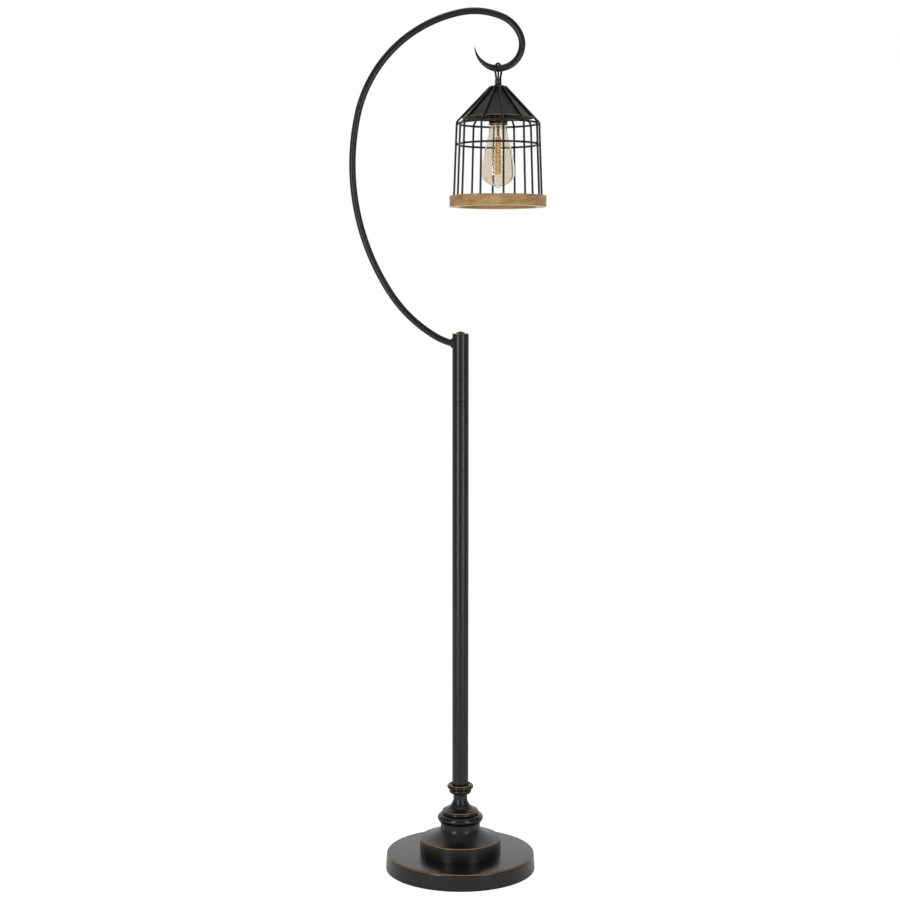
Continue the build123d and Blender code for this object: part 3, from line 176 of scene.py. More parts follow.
class NodeKit:
    """Makes the nodes of one shader or geometry tree."""

    def __init__(self, tree: bpy.types.NodeTree) -> None:
        """Start on a tree."""
        self.tree = tree

    def make(
        self,
        kind: str,
        settings: Mapping[str, Any] | None = None,
        inputs: Mapping[str | int, Any] | None = None,
    ) -> bpy.types.Node:
        """Make one node.

        Args:
            kind: The node's type.
            settings: Properties that are set before the sockets; "stops" fills a colour ramp.
            inputs: Values or links of the node's sockets, by name or number.

        Returns:
            The node.
        """
        node = self.tree.nodes.new(kind)
        for key, value in (settings or {}).items():
            if key == "stops":
                self.fill_ramp(node.color_ramp, value)
            else:
                setattr(node, key, value)
        for key, value in (inputs or {}).items():
            self.feed(node.inputs[key], value)
        return node

    @staticmethod
    def fill_ramp(ramp: bpy.types.ColorRamp, stops: Sequence[tuple[float, Colour]]) -> None:
        """Give a colour ramp its stops."""
        while len(ramp.elements) < len(stops):
            ramp.elements.new(1.0)
        for element, (place, colour) in zip(ramp.elements, stops):
            element.position = place
            element.color = (*colour, 1.0)

    def feed(self, socket: bpy.types.NodeSocket, value: Any) -> None:
        """Link a socket to a signal or socket, or set its value."""
        if isinstance(value, Signal):
            self.tree.links.new(value.socket, socket)
        elif isinstance(value, bpy.types.NodeSocket):
            self.tree.links.new(value, socket)
        elif isinstance(value, tuple) and socket.type == "RGBA":
            socket.default_value = (*value, 1.0)
        else:
            socket.default_value = value

    def math(self, operation: str, *values: Signal | float) -> Signal:
        """Add a Math node and return its result."""
        node = self.make("ShaderNodeMath", {"operation": operation}, dict(enumerate(values)))
        return self.number(node)

    def number(self, node: bpy.types.Node, output: str | int = 0) -> Signal:
        """Wrap one of a node's outputs."""
        return Signal(self, node.outputs[output])


class ShaderKit(NodeKit):
    """Makes a material's nodes."""

    def __init__(self, name: str) -> None:
        """Start an empty material."""
        self.material = bpy.data.materials.new(name)
        self.material.use_nodes = True
        super().__init__(self.material.node_tree)
        self.tree.nodes.clear()
        self.place = self.make("ShaderNodeTexCoord").outputs["Object"]

    def axes(self) -> tuple[Signal, Signal, Signal]:
        """Return the piece's own x, y and z."""
        node = self.make("ShaderNodeSeparateXYZ", inputs={0: self.place})
        return self.number(node, 0), self.number(node, 1), self.number(node, 2)

    def joined(self, *axes: Signal) -> bpy.types.NodeSocket:
        """Join x, y and z into a vector."""
        return self.make("ShaderNodeCombineXYZ", inputs=dict(enumerate(axes))).outputs[0]

    def noise(
        self,
        scale: float,
        detail: float,
        roughness: float,
        vector: bpy.types.NodeSocket | None = None,
        distortion: float = 0.0,
    ) -> Signal:
        """Return a noise pattern, 0 to 1, on the piece's own coordinates or on vector."""
        node = self.make("ShaderNodeTexNoise", inputs={
            "Vector": vector or self.place,
            "Scale": scale,
            "Detail": detail,
            "Roughness": roughness,
            "Distortion": distortion,
        })
        return self.number(node)

    def mix(self, share: Signal | float, first: Any, second: Any) -> bpy.types.NodeSocket:
        """Mix two colours; share 0 is the first, share 1 the second."""
        sockets = {0: share, 6: first, 7: second}
        return self.make("ShaderNodeMix", {"data_type": "RGBA"}, sockets).outputs[2]

    def ramp(self, share: Signal, stops: Sequence[tuple[float, Colour]]) -> bpy.types.NodeSocket:
        """Look a number up in a row of colours."""
        return self.make("ShaderNodeValToRGB", {"stops": stops}, {0: share}).outputs[0]

    def bump(self, height: Signal, distance: float, strength: float) -> bpy.types.NodeSocket:
        """Return a normal that makes height, in distance metres, show as relief."""
        sockets = {"Height": height, "Distance": distance, "Strength": strength}
        return self.make("ShaderNodeBump", inputs=sockets).outputs[0]

    def surface(self, inputs: Mapping[str, Any]) -> bpy.types.Material:
        """Close the material with a Principled shader.

        Args:
            inputs: Values or links of the shader's sockets.

        Returns:
            The material.
        """
        return self.close(self.make("ShaderNodeBsdfPrincipled", inputs=inputs).outputs[0])

    def close(self, shader: bpy.types.NodeSocket) -> bpy.types.Material:
        """Close the material with a shader."""
        self.make("ShaderNodeOutputMaterial", inputs={"Surface": shader})
        return self.material


# ------------------------------------------------------------------ finishes
@dataclass(frozen=True)
class WornEdge:
    """A ring-shaped edge where the paint is rubbed through, in millimetres."""

    radius: float
    height: float
    width: float
    strength: float


@dataclass(frozen=True)
class RubbedPaint:
    """Satin black paint with brown rubbed edges.

    Attributes:
        name: The material's name.
        gloss: Roughness of the sound paint.
        edges: The rings that are rubbed.
        centre_x: The x of the rings' axis in millimetres.
        ior: How strongly the paint mirrors its surroundings.
        black: The paint's colour.
        undertone: The colour that shows through in patches.
        rubbed: The colour of the rubbed edges.
        patches: Scale of the patches.
        grain: Scale of the paint's grain.
        grit: Scale of the finest grain.
        relief: The grain's height in metres.
    """

    name: str
    gloss: float = 0.3
    edges: tuple[WornEdge, ...] = ()
    centre_x: float = 0.0
    ior: float = 1.45
    black: Colour = srgb(9, 9, 9)
    undertone: Colour = srgb(19, 16, 13)
    rubbed: Colour = srgb(144, 112, 60)
    patches: float = 38.0
    grain: float = 420.0
    grit: float = 1500.0
    relief: float = 0.00002

    def material(self) -> bpy.types.Material:
        """Build the material."""
        kit = ShaderKit(self.name)
        broad = kit.noise(self.patches, 4.0, 0.55)
        fine = kit.noise(self.grain, 4.0, 0.6)
        grit = kit.noise(self.grit, 2.0, 0.5)
        inputs = {
            "Base Color": kit.mix(broad.ramp(0.42, 0.72) * 0.55, self.black, self.undertone),
            "Roughness": self.gloss + (fine - 0.5) * 0.05 + (broad - 0.5) * 0.06,
            "Normal": kit.bump(fine * 0.7 + grit * 0.3, self.relief, 0.4),
            "IOR": self.ior,
        }
        if self.edges:
            wear = self.wear(kit, fine)
            inputs["Base Color"] = kit.mix(wear, inputs["Base Color"], self.rubbed)
            inputs["Roughness"] += wear * 0.12
            inputs["Metallic"] = wear * 0.4
        return kit.surface(inputs)

    def wear(self, kit: ShaderKit, fine: Signal) -> Signal:
        """Return how far the paint is rubbed through, 0 to 1."""
        x, y, z = kit.axes()
        across = x - self.centre_x * MM
        radius = (across * across + y * y).root()
        patchy = kit.noise(55.0, 3.0, 0.6).ramp(0.32, 0.62) * 0.45 + 0.55
        total: Signal | None = None
        for edge in self.edges:
            out = radius - edge.radius * MM
            up = z - edge.height * MM
            away = (out * out + up * up).root() / (edge.width * MM)
            ring = (1.35 - away + (fine - 0.5) * 0.9).clamped() * edge.strength
            total = total.largest(ring) if total else ring
        return (total * patchy).clamped()


@dataclass(frozen=True)
class HoneyWood:
    """Honey-brown wood with its grain running round the ring.

    Attributes:
        name: The material's name.
        centre_x: The x of the ring's axis in millimetres.
        underside: The height in millimetres below which the underside gets a pale painted
            highlight.
        light: The light streaks.
        middle: The wood between the streaks.
        dark: The dark streaks and the pores.
        painted_underside_highlight: The underside's pale colour, a painted highlight where light
            catches the bottom edge.
        stretch: How close the grain is along the ring and across it.
    """

    name: str
    centre_x: float
    underside: float
    light: Colour = srgb(180, 145, 97)
    middle: Colour = srgb(153, 118, 70)
    dark: Colour = srgb(104, 77, 42)
    painted_underside_highlight: Colour = srgb(204, 186, 164)
    stretch: Point = (16.0, 210.0)

    def material(self) -> bpy.types.Material:
        """Build the material."""
        kit = ShaderKit(self.name)
        x, y, z = kit.axes()
        along, across = self.stretch
        grain = kit.joined((x - self.centre_x * MM) * along, y * along, z * across)
        streaks = kit.noise(1.6, 5.0, 0.62, grain, 0.6)
        fibres = kit.noise(7.5, 4.0, 0.7, grain, 0.2)
        figure = kit.noise(26.0, 3.0, 0.55, None, 0.8)
        pores = kit.noise(22.0, 2.0, 0.5, grain).ramp(0.60, 0.72)
        tone = streaks * 0.55 + figure * 0.35 + fibres * 0.22
        stops = [(0.0, self.dark), (0.46, self.middle), (1.0, self.light)]
        colour = kit.mix(pores * 0.6, kit.ramp(tone.ramp(0.40, 0.72), stops), self.dark)
        # Painted highlight: the underside is laid in the pale colour, where light catches the
        # bottom edge.
        below = ((self.underside + 0.3) * MM - z).ramp(-0.0001, 0.0001)
        return kit.surface({
            "Base Color": kit.mix(below, colour, self.painted_underside_highlight),
            "Roughness": 0.52 + (fibres - 0.5) * 0.2 - below * 0.22,
            "Normal": kit.bump(fibres * 0.7 - pores * 0.6, 0.00012, 0.7),
            "IOR": 1.45,
        })


@dataclass(frozen=True)
class AgedMetal:
    """Bare metal with fine turning marks and stains.

    Attributes:
        name: The material's name.
        clean: The metal's colour.
        stained: The colour of its stains.
        roughness: Roughness where it is clean.
        rim: A lighter colour laid below rim_height.
        rim_height: The height in millimetres below which the rim colour is laid.
        marks: How close the turning marks are.
    """

    name: str
    clean: Colour
    stained: Colour
    roughness: float = 0.34
    rim: Colour | None = None
    rim_height: float = 0.0
    marks: float = 900.0

    def material(self) -> bpy.types.Material:
        """Build the material."""
        kit = ShaderKit(self.name)
        x, y, z = kit.axes()
        turned = kit.noise(1.0, 2.0, 0.5, kit.joined(x * 30.0, y * 30.0, z * self.marks))
        stain = kit.noise(90.0, 4.0, 0.6).ramp(0.38, 0.7)
        colour = kit.mix(stain, self.clean, self.stained)
        if self.rim:
            below = (self.rim_height * MM - z).ramp(-0.0004, 0.0004)
            colour = kit.mix(below * (1.0 - stain * 0.4), colour, self.rim)
        return kit.surface({
            "Base Color": colour,
            "Metallic": 1.0,
            "Roughness": self.roughness + (turned - 0.5) * 0.2 + stain * 0.12,
            "Normal": kit.bump(turned, 0.00004, 0.6),
        })


@dataclass(frozen=True)
class Blown:
    """Blown glass with a tint and faint waves."""

    name: str
    tint: Colour
    waves: float = 0.00004

    def material(self) -> bpy.types.Material:
        """Build the material."""
        kit = ShaderKit(self.name)
        return kit.surface({
            "Base Color": self.tint,
            "Transmission Weight": 1.0,
            "Roughness": 0.0,
            "IOR": 1.46,
            "Normal": kit.bump(kit.noise(30.0, 0.0, 0.4), self.waves, 0.5),
        })


@dataclass(frozen=True)
class Plain:
    """A dull surface with two tones and a grain.

    Attributes:
        name: The material's name.
        tones: The two tones.
        scale: The grain's scale.
        relief: The grain's height in metres.
        roughness: The surface's roughness.
        metallic: 1 for bare metal.
        glow: Strength of light given off, a painted glow where the part is no lamp.
    """

    name: str
    tones: tuple[Colour, Colour]
    scale: float = 300.0
    relief: float = 0.00008
    roughness: float = 0.7
    metallic: float = 0.0
    glow: float = 0.0

    def material(self) -> bpy.types.Material:
        """Build the material."""
        kit = ShaderKit(self.name)
        grain = kit.noise(self.scale, 4.0, 0.65)
        colour = kit.mix(grain.ramp(0.3, 0.7), *self.tones)
        inputs = {
            "Base Color": colour,
            "Metallic": self.metallic,
            "Roughness": self.roughness + (grain - 0.5) * 0.15,
            "Normal": kit.bump(grain, self.relief, 0.8),
        }
        if self.glow:
            inputs |= {"Emission Color": colour, "Emission Strength": self.glow}
        return kit.surface(inputs)


# ------------------------------------------------------------------ shapes
def circle_centre(a: Point, b: Point, c: Point) -> Point:
    """Return the centre of the circle through three points."""
    scale = 2 * (a[0] * (b[1] - c[1]) + b[0] * (c[1] - a[1]) + c[0] * (a[1] - b[1]))
    squares = [p[0] ** 2 + p[1] ** 2 for p in (a, b, c)]
    x = squares[0] * (b[1] - c[1]) + squares[1] * (c[1] - a[1]) + squares[2] * (a[1] - b[1])
    y = squares[0] * (c[0] - b[0]) + squares[1] * (a[0] - c[0]) + squares[2] * (b[0] - a[0])
    return x / scale, y / scale


def polar(centre: Point, radius: float, angle: float) -> Point:
    """Return the point of a circle at an angle in radians."""
    return centre[0] + radius * math.cos(angle), centre[1] + radius * math.sin(angle)


def arc_middle(start: Point, end: Point, sagitta: float) -> Point:
    """Return an arc's middle; a positive sagitta bulges to the right of start-end."""
    run, rise = end[0] - start[0], end[1] - start[1]
    length = math.hypot(run, rise)
    return (
        (start[0] + end[0]) / 2 + sagitta * rise / length,
        (start[1] + end[1]) / 2 - sagitta * run / length,
    )


class Outline:
    """A closed outline of (radius, height) points in millimetres, drawn anticlockwise."""

    def __init__(self, *points: Point) -> None:
        """Start the outline with straight runs through the points."""
        self.points = list(points)

    def to(self, *points: Point) -> Outline:
        """Go straight to one point after another."""
        self.points.extend(points)
        return self

    def arc(self, middle: Point, end: Point, steps: int = 10) -> Outline:
        """Go to end on the arc that passes through middle.

        Args:
            middle: A point on the arc.
            end: The arc's end.
            steps: How many straight pieces the arc gets.

        Returns:
            The outline itself.
        """
        start = self.points[-1]
        centre = circle_centre(start, middle, end)
        radius = math.dist(start, centre)
        first, half, last = (
            math.atan2(p[1] - centre[1], p[0] - centre[0]) for p in (start, middle, end)
        )
        sweep = (last - first) % math.tau
        if (half - first) % math.tau > sweep:
            sweep -= math.tau
        return self.to(*(
            polar(centre, radius, first + sweep * step / steps) for step in range(1, steps + 1)
        ))

    def bow(self, end: Point, sagitta: float, steps: int) -> Outline:
        """Go to end on an arc that bulges by sagitta to the right of the way there."""
        return self.arc(arc_middle(self.points[-1], end, sagitta), end, steps)

    def swing(
        self, centre: Point, radius: float, first: float, last: float, steps: int
    ) -> Outline:
        """Go round a centre from the first angle to the last, in radians."""
        middle = polar(centre, radius, (first + last) / 2)
        return self.arc(middle, polar(centre, radius, last), steps)

    def round(self, corner: Point, end: Point, steps: int = 6) -> Outline:
        """Go to end on the quarter arc that touches both lines at the corner."""
        start = self.points[-1]
        lean = 1 - math.sqrt(0.5)
        middle = (
            corner[0] + (start[0] + end[0] - 2 * corner[0]) * lean,
            corner[1] + (start[1] + end[1] - 2 * corner[1]) * lean,
        )
        return self.arc(middle, end, steps)

    def closed(self) -> Outline:
        """Drop the last point where it has come back to the first."""
        self.points.pop()
        return self


def place_mesh(name: str, mesh: bpy.types.Mesh, crease: float) -> bpy.types.Object:
    """Link a mesh as a smooth-shaded object at the origin."""
    mesh.polygons.foreach_set("use_smooth", [True] * len(mesh.polygons))
    mesh.set_sharp_from_angle(angle=math.radians(crease))
    mesh.validate()
    piece = bpy.data.objects.new(name, mesh)
    bpy.context.scene.collection.objects.link(piece)
    return piece


def new_piece(
    name: str,
    points: Iterable[Sequence[float]],
    faces: Iterable[Sequence[int]],
    crease: float = 32.0,
) -> bpy.types.Object:
    """Make a smooth-shaded mesh piece.

    Args:
        name: The piece's name.
        points: Its points in millimetres.
        faces: Its faces, as numbers of points.
        crease: The angle in degrees above which an edge stays sharp.

    Returns:
        The object, linked to the scene.
    """
    mesh = bpy.data.meshes.new(name)
    mesh.from_pydata([tuple(c * MM for c in p) for p in points], [], list(faces))
    return place_mesh(name, mesh, crease)


def turned(
    name: str, outline: Outline, sides: int, centre_x: float = 0.0, crease: float = 32.0
) -> bpy.types.Object:
    """Turn a closed outline about the upright axis at centre_x."""
    points: list[tuple[float, float, float]] = []
    rings: list[list[int]] = []
    for radius, height in outline.points:
        if radius < 1e-6:
            rings.append([len(points)] * sides)
            points.append((centre_x, 0.0, height))
            continue
        rings.append([len(points) + side for side in range(sides)])
        for side in range(sides):
            x, y = polar((centre_x, 0.0), radius, math.tau * side / sides)
            points.append((x, y, height))
    faces: list[list[int]] = []
    for low, high in zip(rings, rings[1:] + rings[:1]):
        for side in range(sides):
            after = (side + 1) % sides
            corners = [low[side], low[after], high[after], high[side]]
            face = [c for place, c in enumerate(corners) if c != corners[place - 1]]
            if len(set(face)) >= 3:
                faces.append(face)
    return new_piece(name, points, faces, crease)


def joined_pieces(name: str, pieces: Sequence[bpy.types.Object]) -> bpy.types.Object:
    """Put several meshes into one piece and remove the single ones."""
    points: list[Vector] = []
    faces: list[list[int]] = []
    for piece in pieces:
        first = len(points)
        points.extend(corner.co / MM for corner in piece.data.vertices)
        faces.extend([first + index for index in face.vertices] for face in piece.data.polygons)
        bpy.data.objects.remove(piece)
    return new_piece(name, points, faces, 45)


def skin(count: int, sides: int, closed: bool) -> list[list[int]]:
    """Return the faces between rings of points.

    Args:
        count: How many rings there are.
        sides: How many points each ring has.
        closed: Whether the last ring joins the first.

    Returns:
        The faces, as numbers of points.
    """
    faces = []
    for ring in range(count if closed else count - 1):
        low, high = ring * sides, (ring + 1) % count * sides
        for side in range(sides):
            after = (side + 1) % sides
            faces.append([low + side, low + after, high + after, high + side])
    return faces


@dataclass
class Trail:
    """A round bar's path: its places, headings and radii, in millimetres."""

    places: list[Vector] = field(default_factory=list)
    headings: list[Vector] = field(default_factory=list)
    radii: list[float] = field(default_factory=list)

    def add(self, place: Vector, heading: Vector, radius: float) -> None:
        """Add a place to the path."""
        self.places.append(place)
        self.headings.append(heading.normalized())
        self.radii.append(radius)

    def bar(self, name: str, across: Vector, sides: int, crease: float = 40.0) -> bpy.types.Object:
        """Make a round bar on a path whose plane is square to across.

        Args:
            name: The piece's name.
            across: The direction square to the path's plane.
            sides: How many sides the bar's section has.
            crease: The angle in degrees above which an edge stays sharp.

        Returns:
            The piece.
        """
        points: list[Vector] = []
        for place, heading, radius in zip(self.places, self.headings, self.radii):
            side_way = across.cross(heading).normalized()
            other = heading.cross(side_way)
            for side in range(sides):
                out, over = polar((0.0, 0.0), 1.0, math.tau * side / sides)
                points.append(place + (side_way * out + other * over) * radius)
        last = len(points) - sides
        faces = skin(len(self.places), sides, closed=False)
        faces.append(list(range(sides))[::-1])
        faces.append([last + side for side in range(sides)])
        return new_piece(name, points, faces, crease)


# ------------------------------------------------------------------ repeated pieces
class GeometryRecipe:
    """A Geometry Nodes tree that is run on a base object and kept as a plain mesh."""

    def __init__(self, name: str) -> None:
        """Start an empty tree with a geometry input."""
        self.name = name
        self.tree = bpy.data.node_groups.new(name, "GeometryNodeTree")
        self.kit = NodeKit(self.tree)
        self.values: dict[str, Any] = {}
        for way in ("INPUT", "OUTPUT"):
            self.tree.interface.new_socket(
                "Geometry", in_out=way, socket_type="NodeSocketGeometry"
            )
        self.entry = self.kit.make("NodeGroupInput")
        self.base = self.entry.outputs[0]

    def size(self, name: str, value: float) -> Signal:
        """Add a named input for a size or, with a whole number, for a count.

        Args:
            name: The input's name.
            value: The value that the modifier gives it.

        Returns:
            The input inside the tree.
        """
        kind = "NodeSocketInt" if isinstance(value, int) else "NodeSocketFloat"
        item = self.tree.interface.new_socket(name, in_out="INPUT", socket_type=kind)
        self.values[item.identifier] = value
        return Signal(self.kit, self.entry.outputs[name])

    def step(
        self,
        kind: str,
        inputs: Mapping[str | int, Any] | None = None,
        settings: Mapping[str, Any] | None = None,
        output: str | int = 0,
    ) -> bpy.types.NodeSocket:
        """Add a geometry node and return one of its outputs."""
        return self.kit.make(kind, settings, inputs).outputs[output]

    def index(self) -> Signal:
        """Return the number of each point."""
        return Signal(self.kit, self.step("GeometryNodeInputIndex"))

    def vector(self, **axes: Signal) -> bpy.types.NodeSocket:
        """Join the axes that are given into a vector."""
        return self.step("ShaderNodeCombineXYZ", axes)

    def circle(self, radius: Signal, sides: int) -> bpy.types.NodeSocket:
        """Add a circle of straight runs."""
        sizes = {"Resolution": sides, "Radius": radius}
        return self.step("GeometryNodeCurvePrimitiveCircle", sizes)

    def spread(
        self,
        points: bpy.types.NodeSocket,
        instance: bpy.types.NodeSocket,
        extra: Mapping[str, Any] | None = None,
    ) -> bpy.types.NodeSocket:
        """Put an instance on every point."""
        inputs = {"Points": points, "Instance": instance} | dict(extra or {})
        return self.step("GeometryNodeInstanceOnPoints", inputs)

    def run(
        self,
        base: bpy.types.Object,
        geometry: bpy.types.NodeSocket,
        material: bpy.types.Material,
    ) -> bpy.types.Object:
        """Close the tree, run it on base and return the result as a plain mesh piece.

        Args:
            base: The object that the tree works on; it is removed afterwards.
            geometry: The tree's last geometry.
            material: The result's material.

        Returns:
            The piece, named after the tree.
        """
        realised = self.step("GeometryNodeRealizeInstances", {"Geometry": geometry})
        inputs = {"Geometry": realised, "Material": material}
        dressed = self.step("GeometryNodeSetMaterial", inputs)
        self.kit.make("NodeGroupOutput", inputs={"Geometry": dressed})
        modifier = base.modifiers.new("recipe", "NODES")
        modifier.node_group = self.tree
        for identifier, value in self.values.items():
            modifier[identifier] = value
        bpy.context.view_layer.update()
        graph = bpy.context.evaluated_depsgraph_get()
        mesh = bpy.data.meshes.new_from_object(base.evaluated_get(graph), depsgraph=graph)
        base.modifiers.remove(modifier)
        bpy.data.objects.remove(base)
        mesh.name = self.name
        return place_mesh(self.name, mesh, 40.0)


def poly_curve(name: str, points: Sequence[tuple[float, float, float]]) -> bpy.types.Object:
    """Make a curve object of straight runs, in millimetres."""
    curve = bpy.data.curves.new(name, "CURVE")
    curve.dimensions = "3D"
    spline = curve.splines.new("POLY")
    spline.points.add(len(points) - 1)
    for point, place in zip(spline.points, points):
        point.co = (*(c * MM for c in place), 1.0)
    holder = bpy.data.objects.new(name, curve)
    bpy.context.scene.collection.objects.link(holder)
    return holder


# ------------------------------------------------------------------ the lamp
class SubAssembly:
    """A group of pieces that is built and dressed together."""

    body: Body
    centre_x: float

    def keep(
        self,
        piece: bpy.types.Object,
        material: bpy.types.Material,
        slot: Slot,
        nodes: Sequence[str],
    ) -> None:
        """Dress a piece, tie it to its body and hide the nodes that it stands for.

        Args:
            piece: The piece.
            material: Its material.
            slot: The record's material slot; not used.
            nodes: The nodes that it replaces.
        """
        piece.data.materials.clear()
        piece.data.materials.append(material)
        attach(piece, self.body.value)
        if nodes:
            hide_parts(*nodes)
        log.info("%s: %d points, stands for %s", piece.name, len(piece.data.vertices), nodes)

    def turn(
        self,
        name: str,
        node: str,
        outline: Outline,
        sides: int,
        material: bpy.types.Material,
        slot: Slot = Slot.BLACK,
        crease: float = 32.0,
    ) -> None:
        """Turn an outline about the group's axis, as the piece that stands for a node.

        Args:
            name: The piece's name.
            node: The node that it replaces.
            outline: Its closed outline.
            sides: How many sides it gets.
            material: Its material.
            slot: The record's material slot; not used.
            crease: The angle in degrees above which an edge stays sharp.
        """
        piece = turned(name, outline, sides, self.centre_x, crease)
        self.keep(piece, material, slot, [node])


class StandPart(SubAssembly):
    """A group of pieces of the stand, about the upright axis at the origin."""

    body = Body.STAND
    centre_x = 0.0


@dataclass
class Foot(StandPart):
    """The round foot's cover and the bell on it, in millimetres."""

    radius: float = 146.0
    top_radius: float = 144.5
    height: float = 33.0
    lift: float = 1.0
    wall: float = 1.6
    edge: float = 4.0
    edge_worn: Point = (3.0, 0.95)
    bell_radius: float = 79.0
    bell_band: float = 61.3
    bell_edge: float = 2.6
    bell_worn: Point = (0.754, 0.75)
    bell_wall: float = 4.0
    crown: Point = (38.6, 78.6)
    crown_wall: float = 2.83
    sag: float = 2.6
    bend: float = 12.0
    collar_top: float = 93.0
    collar_chamfer: float = 0.7
    collar_depth: float = 6.0
    bore: float = 8.5

    def build(self) -> None:
        """Make the cover and the bell."""
        self.cover()
        self.bell()

    def cover(self) -> None:
        """Make the spun cover with its rounded edge."""
        deck, shoulder = self.height - self.wall, self.height - self.edge
        flat = self.top_radius - self.edge
        inside = flat + self.edge - self.wall
        outline = Outline(
            (self.radius - self.wall, self.lift), (self.radius, self.lift),
            (self.top_radius, shoulder),
        )
        outline.round((self.top_radius, self.height), (flat, self.height), 10)
        outline.to((self.bore, self.height), (self.bore, deck), (flat, deck))
        outline.round((inside, deck), (inside, shoulder))
        out, down = self.edge_worn
        worn = WornEdge(flat + out, self.height - down, 1.1, 0.9)
        paint = RubbedPaint("foot_paint", 0.25, (worn,)).material()
        self.turn("foot_cover", "base_cover", outline, 224, paint, crease=50)

    def bell(self) -> None:
        """Make the hollow bell."""
        crown, top, chamfer = self.crown[0], self.collar_top, self.collar_chamfer
        band = (self.bell_radius - self.bell_edge, self.bell_band)
        inner_band = (self.bell_radius - self.bell_wall, self.bell_band - self.bell_wall)
        inner_crown = (crown - self.bell_wall, self.crown[1] - self.crown_wall)
        floor = top - self.collar_depth
        outline = Outline(
            (inner_band[0], self.height), (self.bell_radius, self.height),
            (self.bell_radius, self.bell_band - self.bell_edge),
        )
        outline.round((self.bell_radius, self.bell_band), band, 8)
        self.flank(outline, band)
        outline.to(
            (crown, top - chamfer), (crown - chamfer, top), (self.bore, top),
            (self.bore, floor), (inner_crown[0], floor), inner_crown,
        )
        outline.bow(inner_band, self.sag, 12)
        inward, down = self.bell_worn
        worn = WornEdge(self.bell_radius - inward, self.bell_band - down, 1.1, 0.9)
        paint = RubbedPaint("bell_paint", 0.33, (worn,)).material()
        self.turn("foot_bell", "base_bell", outline, 160, paint, crease=28)

    def flank(self, outline: Outline, band: Point) -> None:
        """Add the bell's hollow flank and the bend that turns it up into the collar."""
        crown, sag, bend = self.crown, self.sag, self.bend
        radius = (math.dist(band, crown) ** 2 / 4 + sag ** 2) / (2 * sag)
        centre = arc_middle(band, crown, radius - sag)
        drop = math.sqrt((radius - bend) ** 2 - (crown[0] + bend - centre[0]) ** 2)
        bend_centre = (crown[0] + bend, centre[1] - drop)
        start = math.atan2(band[1] - centre[1], band[0] - centre[0])
        join = math.atan2(bend_centre[1] - centre[1], bend_centre[0] - centre[0])
        outline.swing(centre, radius, start, join, 22)
        outline.swing(bend_centre, bend, join, -math.pi, 10)


